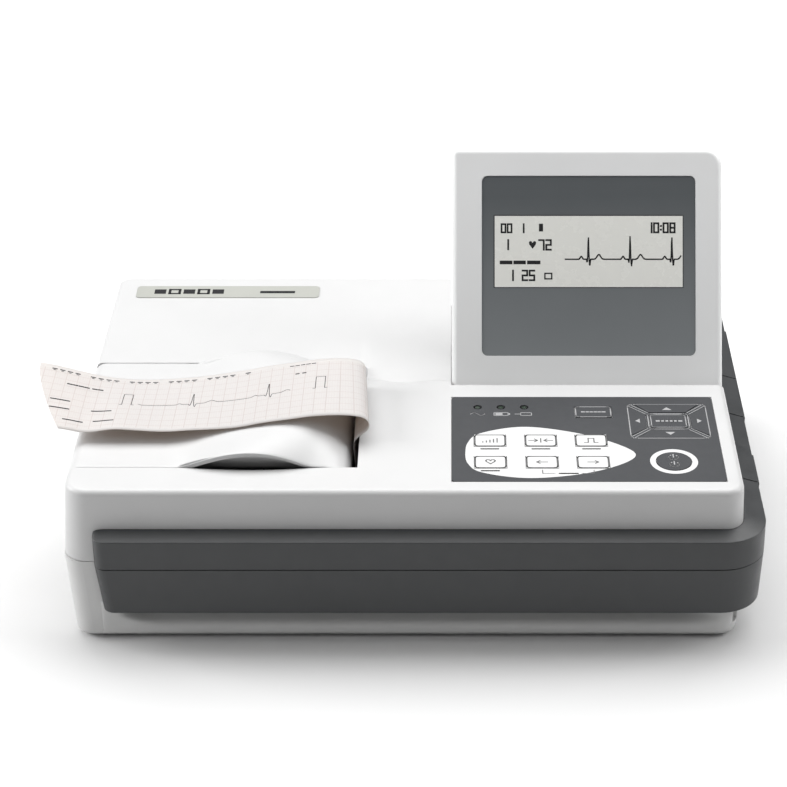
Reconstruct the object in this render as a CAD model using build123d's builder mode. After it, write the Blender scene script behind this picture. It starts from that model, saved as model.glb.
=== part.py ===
from build123d import *
import os
from math import acos, atan2, cos, pi, radians, sin, tan, tau

# Portable single-channel electrocardiograph, millimetres, +Z up, operator on the -Y side.
# The origin is on the table, under the middle of the whole object.

# Case
deck_z = 70.0
seam_z = 37.5
base_z = 1.2
wall = 2.5
deck_x, deck_y = (-133.0, 144.0), (-94.0, 102.0)
seam_x, seam_y = (-135.0, 145.0), (-95.5, 102.0)
base_x, base_y = (-132.0, 144.0), (-97.0, 102.0)
corner_r = 8.0
edge_r = 2.5
base_edge_r = 3.0

# Grip band round the front and the right side
band_x, band_y = (-121.5, 154.3), (-102.0, 99.0)
band_corner_r, band_end_r = 19.0, 5.0
band_low_z, band_top_z = 15.8, 50.7
band_slope_h, band_slope_in = 2.3, 8.0
band_taper, band_end_taper = 1.0, 2.4
band_gap = 0.3
boss_x = 155.0

# Display, hinged at its lower front edge and shown 60 degrees open
display_open = 60.0
display_w, display_h, display_t = 118.5, 109.5, 14.5
display_mid_x = 84.25
hinge_y, hinge_z = -0.3, 66.0
hinge_r = 4.0
hinge_pin_r = 1.5
bezel_t = 3.0
bezel_edge_r = 2.6
display_corner_rs = (3.0, 7.5)
recess_x, recess_z = 24.6, 55.0
lug_xs = (45.0, 123.5)
lug_w = 10.0
window_w, window_h, window_mid, window_y = 93.7, 79.0, 0.7, 57.65
lcd_w, lcd_h, lcd_y = 82.4, 31.2, 63.95

# Recorder: paper, door, platen and gears, all on one centre line
paper_y = -29.4
paper_w = 50.0
door_w = 90.0
slot_x = -12.2
door_pivot = (-128.5, 64.8)
door_barrel_r = 5.2
door_wall = 2.2
platen = (-21.05, 51.0)
platen_r = 5.0
shaft_r = 2.0
roll = (-80.0, 31.0)
roll_r, core_r, spool_r = 21.0, 6.5, 4.0
gear_module = 0.8
platen_teeth, idler_teeth, pinion_teeth = 16, 24, 12
gear_w = 4.0
gear_y = paper_y + 31.0
motor_y = gear_y + gear_w + 2.0
fit = 0.05

# Keypad
pad_x, pad_y = (24.8, 137.2), (-86.0, -15.3)
film_t = 0.5
key_rise = 0.25
key_gap = 0.3
board_z = 63.5

os.makedirs("parts", exist_ok=True)


def outline(x, y, r):
    """A rectangle from its edge positions, with round corners."""
    with BuildSketch(mode=Mode.PRIVATE) as area:
        with Locations(((x[0] + x[1]) / 2, (y[0] + y[1]) / 2)):
            RectangleRounded(x[1] - x[0], y[1] - y[0], r)
    return area.sketch


def shell_block(low, high, inset):
    """The solid between two (x, y, z) outlines, drawn in from both by inset."""
    with BuildPart(mode=Mode.PRIVATE) as block:
        for x, y, z in (low, high):
            with BuildSketch(Plane.XY.offset(z)):
                add(outline((x[0] + inset, x[1] - inset), (y[0] + inset, y[1] - inset), corner_r - inset))
        loft()
    return block.part


def box(x, y, z):
    """A box from its low and high positions along each axis."""
    with BuildPart(mode=Mode.PRIVATE) as block:
        with Locations((x[0], y[0], z[0])):
            Box(x[1] - x[0], y[1] - y[0], z[1] - z[0], align=(Align.MIN, Align.MIN, Align.MIN))
    return block.part


def across(x, z, y, r, length):
    """A cylinder along Y from y to y + length."""
    with BuildPart(mode=Mode.PRIVATE) as rod:
        with BuildSketch(Plane((x, y, z), x_dir=(1, 0, 0), z_dir=(0, 1, 0))):
            Circle(r)
        extrude(amount=length)
    return rod.part


def along(x, y, z, r, length):
    """A cylinder along X from x to x + length."""
    with BuildPart(mode=Mode.PRIVATE) as rod:
        with BuildSketch(Plane((x, y, z), x_dir=(0, 1, 0), z_dir=(1, 0, 0))):
            Circle(r)
        extrude(amount=length)
    return rod.part


def upright(x, y, z, r, height):
    """A cylinder along Z from z to z + height."""
    with BuildPart(mode=Mode.PRIVATE) as rod:
        with BuildSketch(Plane.XY.offset(z)):
            with Locations((x, y)):
                Circle(r)
        extrude(amount=height)
    return rod.part


deck_edge = (deck_x, deck_y, deck_z)
seam_edge = (seam_x, seam_y, seam_z)
base_edge = (base_x, base_y, base_z)

# Ports on the right side: middle along Y, width, height, all centred on port_z
port_z = 34.0
patient_port = (60.5, 39.2, 12.5)
serial_port = (21.0, 30.8, 12.5)
io_port = (-42.5, 15.0, 15.0)
ports = (patient_port, serial_port, io_port)


def port_hole(port, spare):
    """The cut through the right-hand walls for one port."""
    mid, width, height = port
    y = (mid - width / 2 - spare, mid + width / 2 + spare)
    z = (port_z - height / 2 - spare, port_z + height / 2 + spare)
    return box((136.0, 160.0), y, z)


# Mains inlet, power switch and equipotential stud on the rear face
inlet_x, inlet_z = -96.0, 24.0
switch_x, switch_z = -56.0, 24.0
stud_x, stud_z = -32.0, 24.0
inlet_w, inlet_h = 27.0, 20.0
switch_w, switch_h = 13.0, 19.0
flange_y = 100.6


def rear_hole(x, z, w, h, y):
    """A cut into the rear wall, w by h, from y outwards."""
    return box((x - w / 2, x + w / 2), (y, 110.0), (z - h / 2, z + h / 2))


# Keys: name, corner points in plan
def key_row(y, names):
    """Three outlined keys side by side."""
    return [(name, [(x, y), (x + 13.2, y), (x + 13.2, y + 9.6), (x, y + 9.6)])
            for name, x in zip(names, (34.3, 55.6, 76.7))]


nav_x, nav_y = (100.6, 133.6), (-50.6, -22.3)
ok_x, ok_y = (109.2, 124.9), (-42.4, -30.8)
power_key = (116.7, -70.0)
power_key_r = 7.2
menu_x, menu_y = (77.7, 93.2), (-33.4, -24.1)


def nav_key(name, a, b, c, d):
    """One four-cornered key of the navigation pad."""
    return (name, [a, b, c, d])


keys = key_row(-57.8, ("key_sensitivity", "key_reset", "key_calibrate"))
keys += key_row(-75.5, ("key_mode", "key_lead_back", "key_lead_next"))
keys.append(nav_key("key_menu", (menu_x[0], menu_y[0]), (menu_x[1], menu_y[0]),
                    (menu_x[1], menu_y[1]), (menu_x[0], menu_y[1])))
keys.append(nav_key("key_ok", (ok_x[0], ok_y[0]), (ok_x[1], ok_y[0]),
                    (ok_x[1], ok_y[1]), (ok_x[0], ok_y[1])))
keys.append(nav_key("key_up", (ok_x[0], ok_y[1] + 1.6), (ok_x[1], ok_y[1] + 1.6),
                    (nav_x[1] - 3.0, nav_y[1]), (nav_x[0] + 3.0, nav_y[1])))
keys.append(nav_key("key_down", (nav_x[0] + 3.0, nav_y[0]), (nav_x[1] - 3.0, nav_y[0]),
                    (ok_x[1], ok_y[0] - 1.6), (ok_x[0], ok_y[0] - 1.6)))
keys.append(nav_key("key_left", (nav_x[0], nav_y[0] + 2.0), (ok_x[0] - 1.6, ok_y[0]),
                    (ok_x[0] - 1.6, ok_y[1]), (nav_x[0], nav_y[1] - 2.0)))
keys.append(nav_key("key_right", (ok_x[1] + 1.6, ok_y[0]), (nav_x[1], nav_y[0] + 2.0),
                    (nav_x[1], nav_y[1] - 2.0), (ok_x[1] + 1.6, ok_y[1])))


def key_area(points, grow):
    """The plan of one key, grown by a clearance."""
    with BuildSketch(mode=Mode.PRIVATE) as area:
        with BuildLine():
            Polyline(*points, close=True)
        make_face()
        if grow:
            offset(amount=grow)
    return area.sketch


def key_middle(points):
    """The middle of a key's corners."""
    return (sum(p[0] for p in points) / len(points), sum(p[1] for p in points) / len(points))


led_places = [(36.0, -24.4), (46.0, -24.4), (56.0, -24.4)]

# Top cover: the upper shell with its deck, display recess, recorder opening and finger scoops
door_y = (paper_y - door_w / 2, paper_y + door_w / 2)
scoop_r, scoop_depth, scoop_x = 60.0, 1.5, (-86.0, -28.0)
with BuildPart() as top_cover:
    add(shell_block(seam_edge, deck_edge, 0))
    fillet(top_cover.faces().sort_by(Axis.Z)[-1].edges(), edge_r)
    hollow_low = (seam_x, seam_y, seam_z - 1)
    add(shell_block(hollow_low, (deck_x, deck_y, deck_z - wall), wall), mode=Mode.SUBTRACT)
    # Walls and floor of the display recess
    add(box((recess_x - wall, deck_x[1] - 1), (hinge_y - 6.8, deck_y[1] - 1), (recess_z - wall, deck_z - 1)))
    add(box((recess_x, 160.0), (hinge_y - hinge_r - 0.3, 120.0), (recess_z, 90.0)), mode=Mode.SUBTRACT)
    for lug_x in lug_xs:
        lug_span = (lug_x - lug_w / 2, lug_x + lug_w / 2)
        add(box(lug_span, (hinge_y - 6.0, hinge_y), (hinge_z - 1.5, hinge_z + 1.5)))
        add(along(lug_x - lug_w / 2, hinge_y, hinge_z, 3.5, lug_w))
        add(along(lug_x - 20, hinge_y, hinge_z, hinge_pin_r, 40), mode=Mode.SUBTRACT)
    # Thick stretches of deck that carry the finger scoops
    for edge_y, way in ((door_y[0], -1), (door_y[1], 1)):
        near, far = edge_y + way * 0.3, edge_y + way * 17.0
        add(box((scoop_x[0] - 3, scoop_x[1] + 3), (min(near, far), max(near, far)), (62.5, deck_z - 1)))
    add(box((-140.0, slot_x), (door_y[0] - 0.3, door_y[1] + 0.3), (60.0, 90.0)), mode=Mode.SUBTRACT)
    add(box((-140.0, -122.0), (door_y[0] - 0.3, door_y[1] + 0.3), (59.3, 90.0)), mode=Mode.SUBTRACT)
    for edge_y in door_y:
        scoop_z = deck_z + scoop_r - scoop_depth
        add(along(scoop_x[0], edge_y, scoop_z, scoop_r, scoop_x[1] - scoop_x[0]), mode=Mode.SUBTRACT)
    # Bosses for the door's hinge pins
    for edge_y, way in ((door_y[0], -1), (door_y[1], 1)):
        ends = sorted((edge_y + way * 0.3, edge_y + way * 4.5))
        add(box((-132.0, -125.0), ends, (61.0, deck_z - 1)))
        add(across(*door_pivot, edge_y - 3, 1.5, 6), mode=Mode.SUBTRACT)
    # Keypad recess, key holes and lamp holes
    with BuildSketch(Plane.XY.offset(deck_z - film_t)):
        add(outline(pad_x, pad_y, 2.0))
    extrude(amount=5, mode=Mode.SUBTRACT)
    for name, points in keys:
        x, y = key_middle(points)
        add(box((x - 3.3, x + 3.3), (y - 2.0, y + 2.0), (60.0, 75.0)), mode=Mode.SUBTRACT)
    add(upright(*power_key, 60, 3.6, 20), mode=Mode.SUBTRACT)
    for place in led_places:
        add(upright(*place, 60, 1.3, 20), mode=Mode.SUBTRACT)
    # Name plate recess
    add(box((-123.5, -37.2), (79.7, 92.0), (deck_z - 0.4, 75.0)), mode=Mode.SUBTRACT)
    for port in ports:
        add(port_hole(port, 0.4), mode=Mode.SUBTRACT)
top_cover.part.label = "top_cover"
export_step(top_cover.part, "parts/top_cover.step")

# Bottom case: the lower shell with screw posts and the battery hatch
grip_y, grip_low_z, grip_top_z = -90.0, 6.5, 33.0
grip_end = [(-119.0, grip_top_z), (-119.0, 20.0), (-114.5, 12.0), (-107.0, 7.8), (-96.0, grip_low_z)]
hatch_x, hatch_y = (14.0, 104.0), (-62.0, 18.0)
hatch_mid_x = (hatch_x[0] + hatch_x[1]) / 2
hatch_screw_ys = (hatch_y[0] + 5, hatch_y[1] - 5)
post_places = [(-122.0, -80.0), (-122.0, 90.0), (131.0, -80.0), (131.0, 90.0)]
board_places = [(9.0, -80.0), (9.0, 82.0), (120.0, -80.0), (120.0, 82.0)]
main_board_z = 25.4
with BuildPart() as bottom_case:
    add(shell_block(base_edge, seam_edge, 0))
    fillet(bottom_case.faces().sort_by(Axis.Z)[0].edges(), base_edge_r)
    floor_edge = (base_x, base_y, base_z + wall)
    add(shell_block(floor_edge, (seam_x, seam_y, seam_z + 0.01), wall), mode=Mode.SUBTRACT)
    # Hand hold under the band: an inner wall, then the hollow in front of it
    inner_z = (base_z + 1, seam_z - 1)
    add(box((grip_end[0][0] - 3, base_x[1] - corner_r), (base_y[0] + 1.5, grip_y + wall), inner_z))
    add(box((base_x[1] - corner_r - 1, base_x[1] - 1), (grip_y - 2.4, grip_y + wall), inner_z))
    with BuildSketch(Plane.XZ.offset(-grip_y)):
        with BuildLine():
            end_curve = Spline(*grip_end[1:], tangents=((0, -1), (1, 0)))
            Polyline(end_curve @ 1, (160.0, grip_low_z), (160.0, grip_top_z), grip_end[0], end_curve @ 0)
        make_face()
    extrude(amount=30.0, mode=Mode.SUBTRACT)
    for place in post_places:
        add(upright(*place, base_z + 1, 4.0, seam_z - base_z - 4))
        add(upright(*place, base_z - 1, 1.6, 60), mode=Mode.SUBTRACT)
        add(upright(*place, base_z - 1, 3.4, 4), mode=Mode.SUBTRACT)
    add(box(hatch_x, hatch_y, (base_z - 1, base_z + 8)), mode=Mode.SUBTRACT)
    # Tabs under the hatch's short ends take its screws
    for y in hatch_screw_ys:
        add(box((hatch_mid_x - 8, hatch_mid_x + 8), (y - 7.5, y + 7.5), (base_z + wall, base_z + 5)))
        add(upright(hatch_mid_x, y, base_z, 1.3, 8), mode=Mode.SUBTRACT)
    for place in board_places:
        add(upright(*place, base_z + 1, 3.0, main_board_z - base_z - 1))
    add(rear_hole(inlet_x, inlet_z, inlet_w, inlet_h, 90.0), mode=Mode.SUBTRACT)
    add(rear_hole(inlet_x, inlet_z, inlet_w + 4, inlet_h + 4, flange_y), mode=Mode.SUBTRACT)
    add(rear_hole(switch_x, switch_z, switch_w, switch_h, 90.0), mode=Mode.SUBTRACT)
    add(rear_hole(switch_x, switch_z, switch_w + 3, switch_h + 3, flange_y), mode=Mode.SUBTRACT)
    add(across(stud_x, stud_z, 90, 7.0, 20), mode=Mode.SUBTRACT)
    for port in ports:
        add(port_hole(port, 0.4), mode=Mode.SUBTRACT)
bottom_case.part.label = "bottom_case"
export_step(bottom_case.part, "parts/bottom_case.step")

with BuildPart() as battery_cover:
    cover_x = (hatch_x[0] + 0.3, hatch_x[1] - 0.3)
    add(box(cover_x, (hatch_y[0] + 0.3, hatch_y[1] - 0.3), (base_z + 0.1, base_z + wall)))
    for y in hatch_screw_ys:
        add(upright(hatch_mid_x, y, base_z, 1.6, 5), mode=Mode.SUBTRACT)
        add(upright(hatch_mid_x, y, base_z, 3.0, 1.2), mode=Mode.SUBTRACT)
battery_cover.part.label = "battery_cover"
export_step(battery_cover.part, "parts/battery_cover.step")


def band_area(inset, end_inset):
    """Plan of the band, drawn in all round and at its left end: front strip, round corner, right strip."""
    left = band_x[0] + end_inset
    right = band_x[1] - inset
    with BuildSketch(mode=Mode.PRIVATE) as area:
        with BuildLine():
            Polyline((left, band_y[0] + inset), (right, band_y[0] + inset), (right, band_y[1]),
                     (left, band_y[1]), close=True)
        make_face()
        fillet(area.vertices().sort_by(Axis.X)[-2:].sort_by(Axis.Y)[0], band_corner_r - inset)
        fillet(area.vertices().sort_by(Axis.X)[:2].sort_by(Axis.Y)[0], band_end_r)
    return area.sketch


def band_layer(low, high):
    """One layer of the band between two (z, inset, end inset) sections, still without its hollow."""
    with BuildPart(mode=Mode.PRIVATE) as layer:
        for z, inset, end_inset in (low, high):
            with BuildSketch(Plane.XY.offset(z)):
                add(band_area(inset, end_inset))
        loft()
    return layer.part


def port_boss(port, z_low, z_high):
    """The raised surround of one port on the band's outer face."""
    mid, width, height = port
    return box((147.0, boss_x), (mid - width / 2 - 4, mid + width / 2 + 4), (z_low, z_high))


with BuildPart() as upper_bumper:
    add(band_layer((seam_z + band_gap / 2, 0, 0), (band_top_z, 0, 0)))
    add(band_layer((band_top_z, 0, 0), (band_top_z + band_slope_h, band_slope_in, 0)))
    add(shell_block(seam_edge, deck_edge, 0), mode=Mode.SUBTRACT)
    for port in ports:
        add(port_boss(port, seam_z + band_gap / 2, band_top_z - 0.6))
        add(port_hole(port, 0.4), mode=Mode.SUBTRACT)
        # A groove over the top marks where each port's surround begins
        groove_y = port[0] - port[1] / 2 - 4
        add(box((146.0, 160.0), (groove_y - 0.8, groove_y), (band_top_z - 1.0, 60.0)), mode=Mode.SUBTRACT)
upper_bumper.part.label = "upper_bumper"
export_step(upper_bumper.part, "parts/upper_bumper.step")

with BuildPart() as lower_bumper:
    add(band_layer((band_low_z, band_taper, band_end_taper), (seam_z - band_gap / 2, 0, 0)))
    add(shell_block(base_edge, seam_edge, 0), mode=Mode.SUBTRACT)
    for port in ports:
        add(port_boss(port, port_z - port[2] / 2 - 3, seam_z - band_gap / 2))
        add(port_hole(port, 0.4), mode=Mode.SUBTRACT)
lower_bumper.part.label = "lower_bumper"
export_step(lower_bumper.part, "parts/lower_bumper.step")

with BuildPart() as name_plate:
    with BuildSketch(Plane.XY.offset(deck_z - 0.4)):
        add(outline((-123.3, -37.4), (79.9, 91.8), 2.0))
    extrude(amount=0.7)
name_plate.part.label = "name_plate"
export_step(name_plate.part, "parts/name_plate.step")

# Keypad: the film lies in its recess with a window for each key
with BuildPart() as keypad_overlay:
    with BuildSketch(Plane.XY.offset(deck_z - film_t)):
        add(outline((pad_x[0] + 0.1, pad_x[1] - 0.1), (pad_y[0] + 0.1, pad_y[1] - 0.1), 1.9))
        for name, points in keys:
            add(key_area(points, key_gap), mode=Mode.SUBTRACT)
        with Locations(power_key):
            Circle(power_key_r + key_gap, mode=Mode.SUBTRACT)
        with Locations(*led_places):
            Circle(1.3, mode=Mode.SUBTRACT)
    extrude(amount=film_t + 0.1)
keypad_overlay.part.label = "keypad_overlay"
export_step(keypad_overlay.part, "parts/keypad_overlay.step")

key_low_z = deck_z - film_t + 0.45
for name, points in keys:
    with BuildPart() as key:
        with BuildSketch(Plane.XY.offset(key_low_z)):
            add(key_area(points, 0))
        extrude(amount=deck_z + key_rise - key_low_z)
        with BuildSketch(Plane.XY.offset(board_z + 2.6)):
            with Locations(key_middle(points)):
                Rectangle(5.6, 3.0)
        extrude(amount=key_low_z - board_z - 2.6)
    key.part.label = name
    export_step(key.part, f"parts/{name}.step")

with BuildPart() as key_power:
    add(upright(*power_key, key_low_z, power_key_r, deck_z + key_rise - key_low_z))
    add(upright(*power_key, board_z + 2.6, 3.0, key_low_z - board_z - 2.6))
key_power.part.label = "key_power"
export_step(key_power.part, "parts/key_power.step")

with BuildPart() as keypad_board:
    add(box((pad_x[0] + 2, pad_x[1] - 2), (pad_y[0] + 3, pad_y[1] + 4), (board_z, board_z + 1.6)))
    for name, points in keys:
        with BuildSketch(Plane.XY.offset(board_z + 1.6)):
            with Locations(key_middle(points)):
                Circle(2.6)
        extrude(amount=0.5)
    add(upright(*power_key, board_z + 1.6, 2.6, 0.5))
keypad_board.part.label = "keypad_board"
export_step(keypad_board.part, "parts/keypad_board.step")

with BuildPart() as status_leds:
    for place in led_places:
        add(upright(*place, board_z + 1.6, 1.1, deck_z - board_z - 1.65))
status_leds.part.label = "status_leds"
export_step(status_leds.part, "parts/status_leds.step")

# Display: every piece is drawn on the panel's own plane, its front face at local z = 0
lean = radians(90 - display_open)
up = Vector(0, sin(lean), cos(lean))
front = Vector(0, -cos(lean), sin(lean))
panel_origin = Vector(display_mid_x, hinge_y, hinge_z) - up * hinge_r + front * hinge_r
panel = Plane(panel_origin, x_dir=(1, 0, 0), z_dir=front)


def panel_area():
    """The display's outline: its free right-hand corner is rounder than the left."""
    w = display_w / 2
    with BuildSketch(mode=Mode.PRIVATE) as area:
        with BuildLine():
            Polyline((-w, 0), (w, 0), (w, display_h), (-w, display_h), close=True)
        make_face()
        fillet(area.vertices().sort_by(lambda v: v.X + v.Y)[-1], display_corner_rs[1])
        fillet(area.vertices().sort_by(lambda v: v.Y - v.X)[-1], display_corner_rs[0])
    return area.sketch


def panel_box(x, y, z):
    """A box in the display's own axes, x measured from its middle."""
    with BuildPart(mode=Mode.PRIVATE) as block:
        with BuildSketch(panel.offset(z[0])):
            with Locations(((x[0] + x[1]) / 2, (y[0] + y[1]) / 2)):
                Rectangle(x[1] - x[0], y[1] - y[0])
        extrude(amount=z[1] - z[0])
    return block.part


def hinge_rod(x, r, length):
    """A cylinder on the display's hinge line, from x along +X."""
    return along(x, hinge_y, hinge_z, r, length)


with BuildPart() as display_body:
    with BuildSketch(panel.offset(-display_t)):
        add(panel_area())
    extrude(amount=display_t)
    ends = [e for e in display_body.edges() if abs((e.center() - panel_origin).dot(up)) < 0.01]
    fillet([e for e in ends if e.length > 50], hinge_r - 0.01)
    rim = [e for e in display_body.edges() if (e.center() - panel_origin).dot(up) > 5]
    fillet([e for e in rim if abs((e.center() - panel_origin).dot(front)) < 0.01], bezel_edge_r)
    for lug_x in lug_xs:
        local = lug_x - display_mid_x
        notch = (local - lug_w / 2 - 0.4, local + lug_w / 2 + 0.4)
        add(panel_box(notch, (-1, 4.6), (-8.2, 1)), mode=Mode.SUBTRACT)
        add(hinge_rod(lug_x - lug_w / 2 - 0.4, 3.85, lug_w + 0.8), mode=Mode.SUBTRACT)
        add(hinge_rod(lug_x - 10.5, hinge_pin_r + fit, 21), mode=Mode.SUBTRACT)

with BuildPart() as display_bezel:
    add(display_body.part)
    add(panel_box((-80, 80), (-5, 120), (-20, -bezel_t)), mode=Mode.SUBTRACT)
    with BuildSketch(panel.offset(-bezel_t - 1)):
        with Locations((window_mid, window_y)):
            RectangleRounded(window_w - 5, window_h - 5, 1.5)
    extrude(amount=5, mode=Mode.SUBTRACT)
    with BuildSketch(panel.offset(-1.5)):
        with Locations((window_mid, window_y)):
            RectangleRounded(window_w, window_h, 2.6)
    extrude(amount=5, mode=Mode.SUBTRACT)
display_bezel.part.label = "display_bezel"
export_step(display_bezel.part, "parts/display_bezel.step")

with BuildPart() as display_back_shell:
    add(display_body.part)
    add(panel_box((-80, 80), (-5, 120), (-bezel_t, 5)), mode=Mode.SUBTRACT)
    room_x = (-display_w / 2 + wall, display_w / 2 - wall)
    add(panel_box(room_x, (9.5, display_h - 9.0), (-display_t + 2.2, 1)), mode=Mode.SUBTRACT)
display_back_shell.part.label = "display_back_shell"
export_step(display_back_shell.part, "parts/display_back_shell.step")

with BuildPart() as display_window:
    with BuildSketch(panel.offset(-1.5)):
        with Locations((window_mid, window_y)):
            RectangleRounded(window_w - 0.2, window_h - 0.2, 2.5)
    extrude(amount=1.2)
display_window.part.label = "display_window"
export_step(display_window.part, "parts/display_window.step")

lcd_x = (window_mid - lcd_w / 2, window_mid + lcd_w / 2)
with BuildPart() as lcd_module:
    add(panel_box((lcd_x[0] - 2.5, lcd_x[1] + 2.5), (lcd_y - 24, lcd_y + 24), (-8.4, -2.4)))
lcd_module.part.label = "lcd_module"
export_step(lcd_module.part, "parts/lcd_module.step")

with BuildPart() as display_board:
    add(panel_box((lcd_x[0] - 8, lcd_x[1] + 8), (lcd_y - 34, lcd_y + 31), (-10.2, -8.6)))
    add(panel_box((-20, 0), (lcd_y - 30, lcd_y - 27), (-8.6, -5.0)))
display_board.part.label = "display_board"
export_step(display_board.part, "parts/display_board.step")

with BuildPart() as display_hinge_pins:
    for lug_x in lug_xs:
        add(hinge_rod(lug_x - 10, hinge_pin_r, 20))
display_hinge_pins.part.label = "display_hinge_pins"
export_step(display_hinge_pins.part, "parts/display_hinge_pins.step")

# Recorder door: a lid with a rounded hump over the platen, hinged along the left edge
pivot_x, pivot_z = door_pivot


def door_area():
    """The door's section in X and Z, as a half round at the hinge, a flat and a hump."""
    with BuildSketch(mode=Mode.PRIVATE) as area:
        with BuildLine():
            crest = Spline((-94.0, deck_z), (-74.0, 74.0), (-54.0, 78.0), (-40.0, 79.4),
                           (-29.5, 77.2), (-20.5, 70.5), (-17.1, 57.5),
                           tangents=((1, 0), (0.02, -1)))
            left = ThreePointArc((pivot_x, deck_z), (pivot_x - door_barrel_r, pivot_z),
                                 (pivot_x, pivot_z - door_barrel_r))
            Line(left @ 0, crest @ 0)
            Line(crest @ 1, (-22.5, 57.5))
            Line((-22.5, 57.5), (-29.0, 66.5))
            Line((-29.0, 66.5), (-122.0, 66.5))
            Line((-122.0, 66.5), left @ 1)
        make_face()
    return area.sketch


door_plane = Plane((0, door_y[1], 0), x_dir=(1, 0, 0), z_dir=(0, -1, 0))
with BuildPart() as recorder_door:
    with BuildSketch(door_plane):
        add(door_area())
    extrude(amount=door_w)
    # The hump is hollow and open below
    with BuildSketch(door_plane.offset(door_wall)):
        with BuildLine():
            inner = Spline((-90.0, deck_z - door_wall), (-72.0, 71.8), (-54.0, 75.6), (-40.0, 77.0),
                           (-31.0, 74.6), (-25.5, 64.0), tangents=((1, 0), (0.2, -1)))
            Polyline(inner @ 1, (-29.0, 50.0), (-88.0, 50.0), inner @ 0)
        make_face()
    extrude(amount=door_w - 2 * door_wall, mode=Mode.SUBTRACT)
    # Arched finger openings in both ends of the hump
    with BuildSketch(door_plane.offset(-1)):
        with BuildLine():
            arch = ThreePointArc((-84.0, 69.0), (-59.0, 75.2), (-34.0, 69.0))
            Polyline(arch @ 1, (-34.0, 60.0), (-84.0, 60.0), arch @ 0)
        make_face()
    extrude(amount=door_w + 2, mode=Mode.SUBTRACT)
    # Cheeks that hold the platen shaft
    for y in (paper_y - 29.5, paper_y + 27.0):
        with BuildSketch(Plane((0, y + 2.5, 0), x_dir=(1, 0, 0), z_dir=(0, -1, 0))):
            with BuildLine():
                Polyline((-26.0, 66.0), (-19.0, 58.0), (-16.8, 52.5), (-16.8, 47.0), (-25.5, 47.0),
                         (-31.0, 66.0), close=True)
            make_face()
        extrude(amount=2.5)
        add(across(*platen, y - 5, shaft_r + fit, 20), mode=Mode.SUBTRACT)
    # Room for the platen gear, then the hinge bores
    gear_room_r = gear_module * platen_teeth / 2 + 1.4
    add(across(*platen, gear_y - 0.5, gear_room_r, gear_w + 1), mode=Mode.SUBTRACT)
    for y in (door_y[0] - 1, door_y[1] - 8):
        add(across(*door_pivot, y, 1.5 + fit, 9), mode=Mode.SUBTRACT)
recorder_door.part.label = "recorder_door"
export_step(recorder_door.part, "parts/recorder_door.step")

with BuildPart() as platen_roller:
    add(across(*platen, paper_y - 26.5, platen_r, 53))
    add(across(*platen, paper_y - 30, shaft_r, 60), mode=Mode.SUBTRACT)
platen_roller.part.label = "platen_roller"
export_step(platen_roller.part, "parts/platen_roller.step")

with BuildPart() as platen_shaft:
    add(across(*platen, paper_y - 30.5, shaft_r, gear_y + gear_w + 1 - paper_y + 30.5))
platen_shaft.part.label = "platen_shaft"
export_step(platen_shaft.part, "parts/platen_shaft.step")


def involute(angle):
    """The involute function of a pressure angle."""
    return tan(angle) - angle


def gear_part(middle, teeth, phase, bore):
    """A spur gear about Y, with a tooth pointing along phase in the X-Z plane."""
    pitch_r = gear_module * teeth / 2
    base_r = pitch_r * cos(radians(20))
    root_r, tip_r = pitch_r - 1.25 * gear_module, pitch_r + 0.95 * gear_module
    half = (pi * gear_module / 2 - 0.22) / 2 / pitch_r + involute(radians(20))
    flank = []
    for step in range(6):
        r = max(base_r, root_r) + (tip_r - max(base_r, root_r)) * step / 5
        flank.append((r, half - involute(acos(min(base_r / r, 1.0)))))
    flank.insert(0, (root_r - 0.3, flank[0][1]))
    with BuildPart(mode=Mode.PRIVATE) as gear:
        gear_plane = Plane((middle[0], gear_y + gear_w, middle[1]), x_dir=(1, 0, 0), z_dir=(0, -1, 0))
        with BuildSketch(gear_plane):
            Circle(root_r)
            for tooth in range(teeth):
                turn = phase + tau * tooth / teeth
                with BuildLine():
                    Polyline([(r * cos(turn - a), r * sin(turn - a)) for r, a in flank]
                             + [(r * cos(turn + a), r * sin(turn + a)) for r, a in reversed(flank)], close=True)
                make_face()
            Circle(bore, mode=Mode.SUBTRACT)
        extrude(amount=gear_w)
    return gear.part


# The idler sits straight below the platen gear along the door's path, so the door lifts out of mesh
arm = (platen[0] - pivot_x, platen[1] - pivot_z)
arm_length = (arm[0] ** 2 + arm[1] ** 2) ** 0.5
drop = (arm[1] / arm_length, -arm[0] / arm_length)
reach = gear_module * (platen_teeth + idler_teeth) / 2
idler = (platen[0] + reach * drop[0], platen[1] + reach * drop[1])
down_angle = atan2(drop[1], drop[0])
idler_phase = down_angle + pi + pi / idler_teeth
side_angle = radians(-160)
motor_reach = gear_module * (idler_teeth + pinion_teeth) / 2
motor = (idler[0] + motor_reach * cos(side_angle), idler[1] + motor_reach * sin(side_angle))
lag = (side_angle - idler_phase) % (tau / idler_teeth)
pinion_phase = side_angle + pi + lag * idler_teeth / pinion_teeth + pi / pinion_teeth

with BuildPart() as platen_gear:
    add(gear_part(platen, platen_teeth, down_angle, shaft_r))
platen_gear.part.label = "platen_gear"
export_step(platen_gear.part, "parts/platen_gear.step")

with BuildPart() as idler_gear:
    add(gear_part(idler, idler_teeth, idler_phase, 1.5 + fit))
idler_gear.part.label = "idler_gear"
export_step(idler_gear.part, "parts/idler_gear.step")

with BuildPart() as motor_pinion:
    add(gear_part(motor, pinion_teeth, pinion_phase, 0.9))
    add(across(*motor, gear_y + 0.5, 1.0, motor_y + 7 - gear_y))
motor_pinion.part.label = "motor_pinion"
export_step(motor_pinion.part, "parts/motor_pinion.step")

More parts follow.
